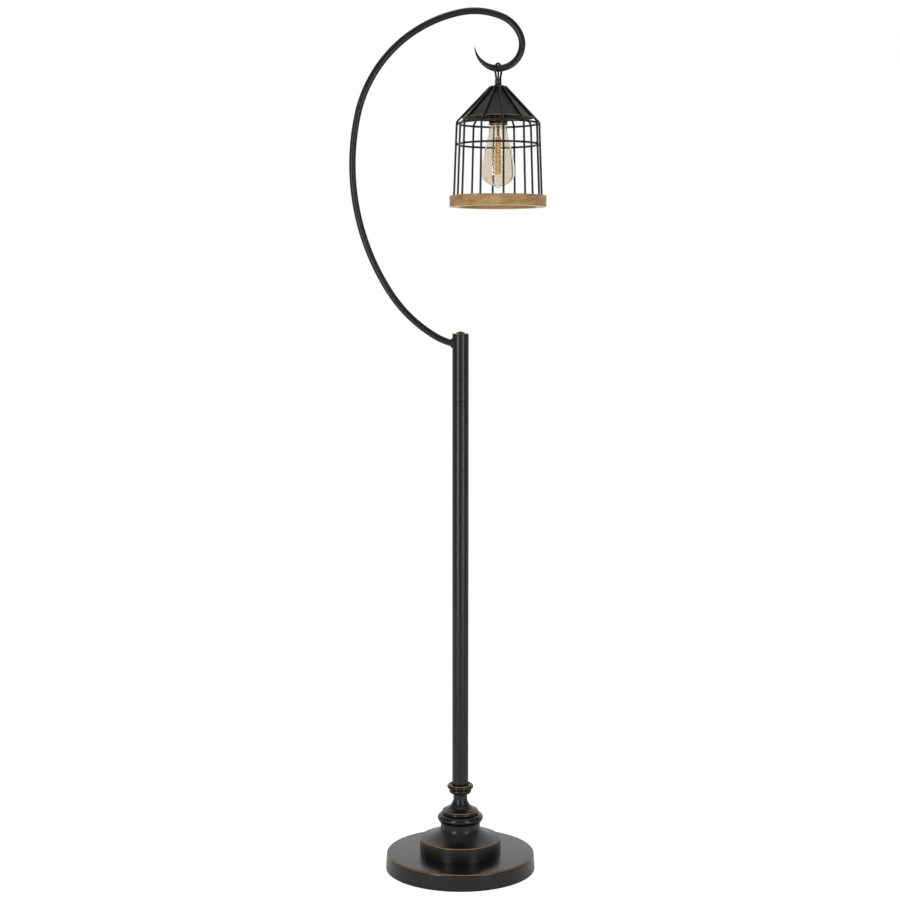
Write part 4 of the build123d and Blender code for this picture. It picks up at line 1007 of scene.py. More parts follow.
@dataclass
class Neck(StandPart):
    """The large bead, the turned neck and the cup under the post, in millimetres."""

    bore: float = 8.5
    gloss: float = 0.26
    bead_low: float = 93.0
    bead_high: float = 108.8
    bead_radius: float = 44.6
    bead_groove: float = 7.8
    foot_radius: float = 34.4
    foot_bulge: float = 1.6
    shoulder_low: float = 115.0
    shoulder_radius: float = 35.0
    shoulder_chamfer: float = 0.3
    lip: float = 1.3
    lip_edge: float = 0.45
    lip_crown: float = 0.05
    dome: Point = (26.4, 120.2)
    dome_sag: float = 0.3
    waist: Point = (13.7, 142.2)
    flare_sag: float = 3.7
    waist_high: float = 148.5
    collar_radius: float = 21.9
    collar_bend: float = 6.0
    top: float = 158.5
    cup_foot: float = 22.4
    cup_radius: float = 25.8
    cup_widest: float = 163.2
    cup_rim: Point = (24.2, 165.8)
    cup_shoulder: Point = (0.6, 0.5)
    cup_inset: float = 1.7
    cup_flat: float = 1.0
    cup_top: float = 167.4
    dish: Point = (18.0, 164.4)
    dish_sag: float = 0.5
    seat_radius: float = 15.925
    seat: float = 162.5

    def build(self) -> None:
        """Make the three turned pieces."""
        self.bead()
        self.spindle()
        self.cup()

    def bead(self) -> None:
        """Make the large bead."""
        flank = self.bead_radius - self.bead_groove
        outline = Outline((self.bore, self.bead_low), (flank, self.bead_low))
        middle = (self.bead_radius, (self.bead_low + self.bead_high) / 2)
        outline.arc(middle, (flank, self.bead_high), 28).to((self.bore, self.bead_high))
        paint = RubbedPaint("bead_paint", self.gloss).material()
        self.turn("neck_bead", "torus_ring", outline, 144, paint)

    def spindle(self) -> None:
        """Make the neck with its lipped shoulder, flare and second bead."""
        wide, low, edge = self.shoulder_radius, self.shoulder_low, self.lip_edge
        lip_top = low + self.lip
        rise = self.top - self.waist_high - self.collar_bend
        bead_foot = self.collar_radius - self.collar_bend
        bead_head = bead_foot + math.sqrt(self.collar_bend ** 2 - rise ** 2)
        outline = Outline((self.bore, self.bead_high), (self.foot_radius, self.bead_high))
        bulge = (self.foot_radius + self.foot_bulge, (self.bead_high + low) / 2)
        outline.arc(bulge, (self.foot_radius, low), 12)
        outline.to(
            (wide - self.shoulder_chamfer, low), (wide, low + self.shoulder_chamfer),
            (wide, lip_top - edge),
        )
        outline.round((wide, lip_top), (wide - edge, lip_top + self.lip_crown), 4)
        outline.bow(self.dome, self.dome_sag, 6).bow(self.waist, -self.flare_sag, 22)
        outline.to((self.waist[0], self.waist_high), (bead_foot, self.waist_high))
        bulge = (self.collar_radius, self.waist_high + self.collar_bend)
        outline.arc(bulge, (bead_head, self.top), 16).to((self.bore, self.top))
        worn = WornEdge(wide - 0.1, lip_top - 0.1, 0.9, 0.85)
        paint = RubbedPaint("neck_paint", self.gloss, (worn,)).material()
        self.turn("neck_spindle_turned", "neck_spindle", outline, 144, paint)

    def cup(self) -> None:
        """Make the cup with its rounded flank and dished top."""
        rim, top = self.cup_rim[0], self.cup_top
        inset, down = self.cup_shoulder
        outline = Outline((self.bore, self.top), (self.cup_foot, self.top))
        outline.arc((self.cup_radius, self.cup_widest), self.cup_rim, 18)
        outline.arc((rim - inset, top - down), (rim - self.cup_inset, top), 5)
        outline.to((rim - self.cup_inset - self.cup_flat, top))
        outline.bow(self.dish, -self.dish_sag, 6).to(
            (self.seat_radius, self.dish[1]), (self.seat_radius, self.seat),
            (self.bore, self.seat),
        )
        worn = WornEdge(rim - 0.5, top - 0.9, 0.9, 0.75)
        paint = RubbedPaint("cup_paint", self.gloss, (worn,)).material()
        self.turn("post_cup_turned", "post_cup", outline, 128, paint)


@dataclass
class Post(StandPart):
    """The post's two tubes and its cap, in millimetres."""

    radius: float = 15.875
    wall: float = 1.5
    low: float = 162.5
    seam: float = 918.0
    seam_chamfer: float = 0.5
    lines: Point = (908.0, 912.6)
    line_widths: Point = (0.35, 0.1)
    line_depth: float = 0.22
    high: float = 1044.8
    top: float = 1047.4
    screw: float = 3.05
    cap_edge: float = 0.9
    cap_chamfer: float = 0.25
    plug_depth: float = 14.0
    plug_gap: float = 0.05
    sides: int = 96

    def build(self) -> None:
        """Make the tubes and the cap."""
        paint = RubbedPaint("post_paint").material()
        self.lower_tube(paint)
        self.upper_tube(paint)
        self.cap()

    def lower_tube(self, paint: bpy.types.Material) -> None:
        """Make the lower tube with two fine lines below its head."""
        bore, radius = self.radius - self.wall, self.radius
        wide, narrow = self.line_widths
        groove = radius - self.line_depth
        outline = Outline((bore, self.low), (radius, self.low))
        for line in self.lines:
            outline.to(
                (radius, line - wide), (groove, line - narrow),
                (groove, line + narrow), (radius, line + wide),
            )
        outline.to(
            (radius, self.seam - self.seam_chamfer), (radius - self.seam_chamfer, self.seam),
            (bore, self.seam),
        )
        self.turn("post_tube_lower", "post_lower_tube", outline, self.sides, paint)

    def upper_tube(self, paint: bpy.types.Material) -> None:
        """Make the upper tube that the arm is welded to."""
        bore, radius = self.radius - self.wall, self.radius
        outline = Outline(
            (bore, self.seam), (radius - self.seam_chamfer, self.seam),
            (radius, self.seam + self.seam_chamfer), (radius, self.high), (bore, self.high),
        )
        self.turn("post_tube_upper", "post_upper_tube", outline, self.sides, paint)

    def cap(self) -> None:
        """Make the cap with its rubbed rim."""
        radius, top, foot = self.radius, self.top, self.high - self.plug_depth
        plug = radius - self.wall - self.plug_gap
        outline = Outline(
            (self.screw, foot), (plug, foot), (plug, self.high),
            (radius - self.cap_chamfer, self.high), (radius, self.high + self.cap_chamfer),
            (radius, top - self.cap_edge),
        )
        outline.round((radius, top), (radius - self.cap_edge, top)).to((self.screw, top))
        worn = WornEdge(radius - 0.25, top - 0.3, 1.1, 0.7)
        paint = RubbedPaint("post_cap_paint", edges=(worn,)).material()
        self.turn("post_cap_spun", "post_cap", outline, self.sides, paint)


@dataclass
class Arm(StandPart):
    """The bowed arm, its hook and the weld at its root, in millimetres and degrees."""

    radius: float = 6.35
    start: Point = (-15.875, 1028.7)
    heading: float = 165.4
    root_depth: float = 4.0
    bends: tuple[Point, ...] = (
        (125.2, 16.6), (266.3, 26.1), (441.3, 45.0), (249.7, 66.3), (134.2, 33.7), (65.9, 41.8),
    )
    bend_step: float = 1.5
    hook_radius: float = 44.8
    hook_steps: int = 110
    taper_from: float = 12.0
    taper_to: float = 84.0
    point_radius: float = 0.6
    point: tuple[Point, ...] = ((0.25, 0.5), (0.45, 0.3), (0.55, 0.08))
    post_radius: float = 15.875
    weld_climb: float = 2.6
    weld_reach: float = 2.7
    weld_swell: float = 0.95
    weld_ripples: int = 26
    bush_bore: float = 1.75
    bush_line: tuple[Point, ...] = ((2.5, -0.15), (2.9, 0.1), (2.7, 0.5), (2.7, 2.4))

    def build(self) -> None:
        """Make the arm, the weld and the hook's bush."""
        paint = RubbedPaint("arm_paint", 0.33).material()
        bar = self.trail().bar("arm_and_hook", BACKWARDS, 40, crease=60)
        self.keep(bar, paint, Slot.BLACK, ["arm_tube", "hook_tip"])
        self.weld(paint)
        self.bush()

    def hook_low_turn(self) -> float:
        """Return the hook's turn from its start to its lowest point."""
        return self.heading - sum(turn for _, turn in self.bends) + 180.0

    @staticmethod
    def step(place: Point, heading: float, radius: float, turn: float) -> Point:
        """Follow a clockwise arc from a place and return its end."""
        old, new = math.radians(heading), math.radians(heading - turn)
        return (
            place[0] + radius * (math.sin(old) - math.sin(new)),
            place[1] - radius * (math.cos(old) - math.cos(new)),
        )

    def hook_low(self) -> Point:
        """Return the hook's lowest point."""
        place, heading = self.start, self.heading
        for radius, turn in (*self.bends, (self.hook_radius, self.hook_low_turn())):
            place, heading = self.step(place, heading, radius, turn), heading - turn
        return place

    def trail(self) -> Trail:
        """Return the arm's path from inside the post to the hook's point."""
        trail = Trail()

        def put(place: Point, heading: float, radius: float = self.radius) -> None:
            """Add one place to the path."""
            x, z = polar((0.0, 0.0), 1.0, math.radians(heading))
            trail.add(Vector((place[0], 0, place[1])), Vector((x, 0, z)), radius)

        put(polar(self.start, -self.root_depth, math.radians(self.heading)), self.heading)
        put(self.start, self.heading)
        place, heading = self.start, self.heading
        for radius, turn in self.bends:
            steps = max(6, round(turn / self.bend_step))
            for number in range(1, steps + 1):
                part = turn * number / steps
                put(self.step(place, heading, radius, part), heading - part)
            place, heading = self.step(place, heading, radius, turn), heading - turn
        last = self.hook_low_turn() + self.taper_to
        taper = self.taper_to - self.taper_from
        for number in range(1, self.hook_steps + 1):
            part = last * number / self.hook_steps
            share = max(0.0, 1 - (last - part) / taper)
            radius = self.radius + (self.point_radius - self.radius) * share
            put(self.step(place, heading, self.hook_radius, part), heading - part, radius)
        end, heading = self.step(place, heading, self.hook_radius, last), heading - last
        for further, radius in self.point:
            put(polar(end, further, math.radians(heading)), heading, radius)
        return trail

    def weld(self, paint: bpy.types.Material) -> None:
        """Make the rippled weld where the arm meets the post."""
        x, z = polar((0.0, 0.0), 1.0, math.radians(self.heading))
        along, over = Vector((x, 0, z)), Vector((-z, 0, x))
        origin = Vector((self.start[0], 0, self.start[1]))
        around, steps = 120, 9
        points: list[Vector] = []
        for number in range(around):
            turn = math.tau * number / around
            out = BACKWARDS * math.cos(turn) + over * math.sin(turn)
            ripple = 0.28 * math.sin(turn * self.weld_ripples) + 0.5 * noise.noise(out * 2.1)
            high = self.on_post(origin + out * (self.radius - 0.2), along)
            high += along * (self.weld_climb + ripple)
            low = origin + out * (self.radius + self.weld_reach + ripple * 0.6)
            low = self.on_post(low, along)
            for step in range(steps):
                share = step / (steps - 1)
                swell = math.sin(math.pi * share) * (self.weld_swell + ripple * 0.5)
                points.append(high.lerp(low, share) + (out + along).normalized() * swell)
            points.append(low - along * 1.2)
            points.append(high - along * self.weld_climb - out * 0.6)
        faces = [[a, d, c, b] for a, b, c, d in skin(around, steps + 2, closed=True)]
        piece = new_piece("arm_root_weld", points, faces, 70)
        self.keep(piece, paint, Slot.BLACK, ["arm_weld"])

    def on_post(self, place: Vector, along: Vector) -> Vector:
        """Slide a place along the arm's root until it lies on the post's wall."""
        square = along.x * along.x
        half = place.x * along.x
        rest = place.x ** 2 + place.y ** 2 - self.post_radius ** 2
        reach = (-half + math.sqrt(max(0.0, half * half - square * rest))) / square
        return place + along * reach

    def bush(self) -> None:
        """Make the bush where the lead leaves the hook."""
        x, z = self.hook_low()
        low = z - self.radius
        line = [(radius, low + height) for radius, height in self.bush_line]
        outline = Outline(
            (self.bush_bore, line[0][1]), *line, (self.bush_bore, line[-1][1])
        )
        rubber = Plain("bush_rubber", (srgb(22, 22, 22), srgb(34, 33, 32))).material()
        piece = turned("hook_lead_bush", outline, 40, x)
        self.keep(piece, rubber, Slot.RUBBER, ["hook_bush"])


@dataclass
class Hanger(SubAssembly):
    """The forged loop that hangs on the hook, with its hub, in millimetres and degrees."""

    centre_x: float
    hook_low: float
    arm_radius: float
    seat_gap: float = 0.7
    wire: float = 2.0
    arch: float = 11.5
    taper: float = 17.0
    legs: float = 13.6
    leg_sink: float = 8.6
    leg_thinning: float = 0.68
    yaw: float = 34.0
    hub_radius: float = 6.35
    hub_length: float = 10.65
    hub_round: float = 1.0
    hub_chamfer: float = 0.3
    bore: float = 4.85
    bore_depth: float = 6.6
    lead_way: float = 2.2
    leg_steps: int = 9
    arch_steps: int = 56

    body = Body.HANGER

    def __post_init__(self) -> None:
        """Work out the loop's levels."""
        taper = math.radians(self.taper)
        self.centre = self.hook_low + self.arm_radius + self.seat_gap + self.wire - self.arch
        self.flank = (self.arch * math.cos(taper), self.centre - self.arch * math.sin(taper))
        run = (self.flank[0] - self.legs / 2) / math.sin(taper)
        self.hub_top = self.flank[1] - run * math.cos(taper)
        self.foot = (
            self.legs / 2 - self.leg_sink * math.sin(taper),
            self.hub_top - self.leg_sink * math.cos(taper),
        )

    def build(self) -> None:
        """Make the loop and its hub as one piece."""
        paint = RubbedPaint("loop_paint", 0.32).material()
        piece = joined_pieces("forged_loop", [self.loop(), self.hub()])
        self.keep(piece, paint, Slot.BLACK, ["hanger_loop"])

    def loop(self) -> bpy.types.Object:
        """Make the loop's wire, up one leg, over the arch and down the other."""
        taper = math.radians(self.taper)
        way = Vector((*polar((0.0, 0.0), 1.0, math.radians(90.0 - self.yaw)), 0))
        depth = self.leg_sink * math.cos(taper)
        trail = Trail()

        def put(out: float, height: float, heading: float) -> None:
            """Add a place; inside the hub the wire thins on its inner side."""
            thinned = self.wire * self.leg_thinning * max(0.0, (self.hub_top - height) / depth)
            shift = way * (out + math.copysign(thinned, out))
            across, up = polar((0.0, 0.0), 1.0, heading)
            place = Vector((self.centre_x, 0, height)) + shift
            trail.add(place, way * across + UP * up, self.wire - thinned)

        def put_leg(side: int, numbers: Iterable[int]) -> None:
            """Add a leg's places; number 0 is at the hub, leg_steps at the arch."""
            for number in numbers:
                share = number / self.leg_steps
                out, height = (
                    foot + (flank - foot) * share for foot, flank in zip(self.foot, self.flank)
                )
                put(side * out, height, -side * (math.pi / 2 + taper))

        put_leg(-1, range(self.leg_steps))
        for number in range(self.arch_steps + 1):
            angle = math.pi + taper - (math.pi + 2 * taper) * number / self.arch_steps
            put(*polar((0.0, self.centre), self.arch, angle), angle - math.pi / 2)
        put_leg(1, reversed(range(self.leg_steps)))
        return trail.bar("loop_wire", way.cross(UP), 28, crease=60)

    def hub(self) -> bpy.types.Object:
        """Make the hub, bored for the nipple from below and for the lead from above."""
        radius, top, bottom = self.hub_radius, self.hub_top, self.hub_top - self.hub_length
        outline = Outline(
            (self.lead_way, bottom + self.bore_depth), (self.bore, bottom + self.bore_depth),
            (self.bore, bottom), (radius - self.hub_chamfer, bottom),
            (radius, bottom + self.hub_chamfer), (radius, top - self.hub_round),
        )
        outline.round((radius, top), (radius - self.hub_round, top)).to((self.lead_way, top))
        return turned("loop_hub", outline, 64, self.centre_x)


@dataclass
class Lead(SubAssembly):
    """The short lead from the hook into the socket, in millimetres."""

    centre_x: float
    top: float
    bottom: float
    hold: float
    let_go: float
    radius: float = 1.7
    steps: int = 56

    def build(self) -> None:
        """Make the lead as a straight bar from the hook down into the socket."""
        trail = Trail()
        for number in range(self.steps + 1):
            height = self.top + (self.bottom - self.top) * number / self.steps
            trail.add(Vector((self.centre_x, 0, height)), -UP, self.radius)
        piece = trail.bar("lead_to_socket", BACKWARDS, 20)
        tones = (srgb(24, 24, 25), srgb(38, 37, 36))
        finish = Plain("lead_sleeve", tones, scale=900.0, roughness=0.62)
        piece.data.materials.append(finish.material())
        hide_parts("lead_drop")
        start, end = (
            Vector((self.centre_x * MM, 0, height * MM)) for height in (self.hold, self.let_go)
        )
        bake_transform(piece)
        log.info("%s bends with the loop", piece.name)


@dataclass
class Cage(SubAssembly):
    """The shade's wires, hoops, cone, head plate and wooden ring, in millimetres and degrees."""

    centre_x: float
    top: float
    wires: int = 12
    first_wire: float = -84.5
    wire: float = 2.0
    foot_radius: float = 83.9
    shoulder_radius: float = 78.65
    wall_height: float = 137.8
    roof_angle: float = 46.1
    shoulder_bend: float = 6.0
    seat_depth: float = 14.0
    plate_radius: float = 13.5
    plate: float = 2.5
    plate_foot: float = 0.3
    plate_round: float = 0.5
    mid_height: float = 96.4
    hoop_drop: float = 2.3
    weld_sink: float = 0.25
    bead_radius: float = 0.95
    bead_lumps: float = 0.3
    bead_apart: float = 1.45
    cone_sink: float = 0.05
    cone_wall: float = 1.0
    cone_rim: float = 68.5
    cone_lip: float = 0.2
    ring_width: float = 17.0
    ring_ledge: float = 8.1
    ring_height: float = 21.4
    ring_edge: float = 1.2
    bore: float = 4.85
    clamp_height: float = 2.6
    clamp_radii: Point = (9.5, 7.2)
    clamp_band: float = 0.8

    body = Body.SHADE

    def __post_init__(self) -> None:
        """Work out the cage's levels from its sizes."""
        self.roof = math.radians(self.roof_angle)
        self.slope = math.tan(self.roof)
        self.cone_top = self.top - self.plate
        roof_radius = self.plate_radius + (self.wire - self.cone_sink) / math.sin(self.roof)
        end_radius = self.plate_radius + self.wire * math.sin(self.roof) - self.weld_sink
        self.wire_end = (end_radius, self.cone_top + (roof_radius - end_radius) * self.slope)
        self.shoulder = self.cone_top - (self.shoulder_radius - roof_radius) * self.slope
        self.ring_top = self.shoulder - self.wall_height
        self.lean = (self.foot_radius - self.shoulder_radius) / self.wall_height
        self.hoops = (self.ring_top + self.mid_height, self.shoulder - self.hoop_drop)

    def build(self) -> None:
        """Make every piece of the cage."""
        paint = RubbedPaint("wire_paint", 0.36).material()
        self.cage_wires(paint)
        self.welds(paint)
        names = (("hoop_middle", "mid_hoop"), ("hoop_shoulder", "shoulder_hoop"))
        for (name, node), height in zip(names, self.hoops):
            self.hoop(name, node, height, paint)
        self.cone()
        self.head_plate()
        self.clamp()
        self.ring()

    def wall_radius(self, height: float) -> float:
        """Return the wire circle's radius at a height."""
        return self.foot_radius - self.lean * (height - self.ring_top)

    def around(
        self, recipe: GeometryRecipe, instance: bpy.types.NodeSocket
    ) -> bpy.types.NodeSocket:
        """Repeat a geometry of the first wire's plane for every wire.

        Args:
            recipe: The tree to add to.
            instance: The geometry, with the cage's axis at x = 0.

        Returns:
            The repeated geometry about the cage's own axis.
        """
        count = recipe.size("Wires", self.wires)
        first = recipe.size("First wire", math.radians(self.first_wire))
        centre = recipe.size("Axis", self.centre_x * MM)
        turn = recipe.vector(Z=recipe.index() * math.tau / count + first)
        rotation = recipe.step("FunctionNodeEulerToRotation", {0: turn})
        places = {"Count": count, "Position": recipe.vector(X=centre)}
        points = recipe.step("GeometryNodePoints", places)
        return recipe.spread(points, instance, {"Rotation": rotation})

    def cage_wires(self, paint: bpy.types.Material) -> None:
        """Make the bent wires from one bent path."""
        low = self.ring_top - self.seat_depth
        foot = (self.wall_radius(low), 0, low)
        corner = (self.shoulder_radius, 0, self.shoulder)
        end = (self.wire_end[0], 0, self.wire_end[1])
        recipe = GeometryRecipe("bent_wires")
        bend = recipe.size("Shoulder bend", self.shoulder_bend * MM)
        radius = recipe.size("Wire radius", self.wire * MM)
        fillet = {"Curve": recipe.base, "Count": 14, "Radius": bend}
        path = recipe.step("GeometryNodeFilletCurve", fillet, {"mode": "POLY"})
        sweep = {"Curve": path, "Profile Curve": recipe.circle(radius, 24), "Fill Caps": True}
        bar = recipe.step("GeometryNodeCurveToMesh", sweep)
        base = poly_curve("wire_path", [foot, corner, end])
        piece = recipe.run(base, self.around(recipe, bar), paint)
        nodes = [f"cage_wire_{number:02d}" for number in range(1, self.wires + 1)]
        self.keep(piece, paint, Slot.BLACK, nodes)

    def welds(self, paint: bpy.types.Material) -> None:
        """Make the small weld beads where the wires cross the hoops and meet the plate."""
        apart, sides = self.bead_apart, (-1.0, 1.0)
        inwards = self.wire - self.weld_sink / 2
        spots = [
            (self.wall_radius(height) - inwards, side * apart, height + up * apart)
            for height in self.hoops for side in sides for up in sides
        ]
        out, high = self.wire_end
        spots += [(out + 0.1, side * 1.5, high - 0.9) for side in sides]
        base = new_piece("weld_places", spots, [])
        recipe = GeometryRecipe("weld_beads")
        size = recipe.size("Bead radius", self.bead_radius * MM)
        lumps = recipe.size("Lumps", self.bead_lumps * MM)
        bead = recipe.step("GeometryNodeMeshIcoSphere", {"Radius": size, "Subdivisions": 3})
        wobble = recipe.step("ShaderNodeTexNoise", {"Scale": 900.0, "Detail": 1.0}, output=1)
        centred = recipe.step(
            "ShaderNodeVectorMath", {0: wobble, 1: (0.5, 0.5, 0.5)}, {"operation": "SUBTRACT"}
        )
        push = recipe.step(
            "ShaderNodeVectorMath", {0: centred, "Scale": lumps}, {"operation": "SCALE"}
        )
        lumpy = recipe.step("GeometryNodeSetPosition", {"Geometry": bead, "Offset": push})
        spread = recipe.spread(recipe.base, lumpy, {"Scale": (0.9, 1.15, 1.15)})
        joined = recipe.step("GeometryNodeRealizeInstances", {"Geometry": spread})
        piece = recipe.run(base, self.around(recipe, joined), paint)
        self.keep(piece, paint, Slot.BLACK, [])

    def hoop(self, name: str, node: str, height: float, paint: bpy.types.Material) -> None:
        """Make a round wire hoop that is welded inside the wires at a height."""
        wire = self.wire
        radius = self.wall_radius(height) - 2 * wire + self.weld_sink
        outline = Outline((radius + wire, height))
        outline.arc((radius, height + wire), (radius - wire, height), 12)
        outline.arc((radius, height - wire), (radius + wire, height), 12).closed()
        self.turn(name, node, outline, 192, paint, crease=60)

    def cone(self) -> None:
        """Make the thin spun cone under the roof wires."""
        out, rim, lip, top = self.plate_radius, self.cone_rim, self.cone_lip, self.cone_top
        low = top - (rim - out) * self.slope
        thick = self.cone_wall / math.sin(self.roof)
        inside = out + self.cone_wall / self.slope - thick
        outline = Outline(
            (self.bore, top - self.cone_wall), (inside, top - self.cone_wall),
            (rim - thick, low + 0.15), (rim - thick + lip, low), (rim - lip, low),
            (rim, low + lip), (out + 0.4, top - 0.25), (out - 0.3, top), (self.bore, top),
        )
        worn = WornEdge(rim - 0.4, low + 0.1, 1.3, 0.8)
        paint = RubbedPaint("cone_paint", 0.4, (worn,), self.centre_x, 1.36).material()
        self.turn("spun_cone", "inner_cone", outline, 192, paint)

    def head_plate(self) -> None:
        """Make the plate at the cage's head."""
        out, low, top, foot = self.plate_radius, self.cone_top, self.top, self.plate_foot
        outline = Outline(
            (self.bore, low), (out - foot, low), (out, low + foot),
            (out, top - self.plate_round),
        )
        outline.round((out, top), (out - self.plate_round, top), 4).to((self.bore, top))
        paint = RubbedPaint("plate_paint").material()
        self.turn("head_plate", "cage_cap", outline, 96, paint)

    def clamp(self) -> None:
        """Make the tapered ring that clamps the cage's head."""
        foot, head = self.clamp_radii
        low, top = self.top, self.top + self.clamp_height
        outline = Outline(
            (self.bore, low), (foot - 0.2, low), (foot, low + 0.2),
            (foot, low + self.clamp_band), (head + 0.3, top - 0.2), (head, top),
            (self.bore, top),
        )
        paint = RubbedPaint("clamp_paint").material()
        self.turn("clamp_ring_turned", "clamp_ring", outline, 72, paint)

    def ring(self) -> None:
        """Make the wooden ring with its softened edges."""
        out, edge = self.foot_radius + self.ring_ledge, self.ring_edge
        bore = out - self.ring_width
        low, high = self.ring_top - self.ring_height, self.ring_top
        outline = Outline((bore + edge, low), (out - edge, low))
        outline.round((out, low), (out, low + edge), 5).to((out, high - edge))
        outline.round((out, high), (out - edge, high), 5).to((bore + edge, high))
        outline.round((bore, high), (bore, high - edge), 5).to((bore, low + edge))
        outline.round((bore, low), (bore + edge, low), 5).closed()
        wood = HoneyWood("honey_wood", self.centre_x, low).material()
        self.turn("turned_wood_ring", "wood_ring", outline, 224, wood, Slot.WOOD)


@dataclass
class Socket(SubAssembly):
    """The brass lamp holder under the cone, in millimetres."""

    centre_x: float
    top: float
    cap_radius: float = 16.4
    cap_height: float = 18.0
    wall: float = 0.8
    cap_round: float = 5.0
    lap: float = 6.0
    shell_length: float = 52.6
    shell_bore: float = 16.45
    rim_radius: float = 18.4
    rim_round: float = 0.7
    lip: float = 2.2
    lip_round: float = 0.6
    beads: Point = (12.0, 15.0)
    bead_half: float = 0.8
    bead_rise: float = 0.35
    shell_chamfer: float = 0.3
    bore: float = 4.85

    body = Body.SHADE

    def build(self) -> None:
        """Make the head and the shell."""
        foot = self.top - self.cap_height
        mouth = foot + self.lap - self.shell_length
        brass = AgedMetal(
            "aged_brass_finish", srgb(80, 70, 58), srgb(38, 33, 29),
            rim=srgb(176, 154, 128), rim_height=mouth + self.lip + 0.4,
        ).material()
        self.head(foot, brass)
        self.shell(mouth, foot + self.lap, brass)

    def head(self, foot: float, brass: bpy.types.Material) -> None:
        """Make the domed head from its foot up."""
        knee, inner = self.cap_radius - self.cap_round, self.cap_radius - self.wall
        top, ceiling, bend = self.top, self.top - self.wall, self.top - self.cap_round
        outline = Outline((inner, foot), (self.cap_radius, foot), (self.cap_radius, bend))
        outline.round((self.cap_radius, top), (knee, top), 12)
        outline.to((self.bore, top), (self.bore, ceiling), (knee, ceiling))
        outline.round((inner, ceiling), (inner, bend), 8)
        self.turn("holder_head", "socket_cap", outline, 96, brass, Slot.BRASS)

    def shell(self, low: float, high: float, brass: bpy.types.Material) -> None:
        """Make the shell with its rolled rim and beads."""
        rim, outside, lip = self.rim_radius, self.shell_bore + self.wall, low + self.lip
        outline = Outline(
            (self.shell_bore, low + 0.4), (self.shell_bore + 0.5, low),
            (rim - self.rim_round, low),
        )
        outline.round((rim, low), (rim, low + self.rim_round), 5)
        outline.to((rim, lip - self.lip_round))
        outline.round((rim, lip), (rim - self.lip_round, lip), 4)
        outline.to((outside + 0.2, lip + 0.6), (outside, lip + 1.2))
        for bead in self.beads:
            middle = low + bead
            outline.to((outside, middle - self.bead_half))
            outline.arc(
                (outside + self.bead_rise, middle), (outside, middle + self.bead_half), 5
            )
        chamfer = self.shell_chamfer
        outline.to((outside, high - chamfer), (outside - chamfer, high), (self.shell_bore, high))
        self.turn("holder_shell", "socket_shell", outline, 112, brass, Slot.BRASS)


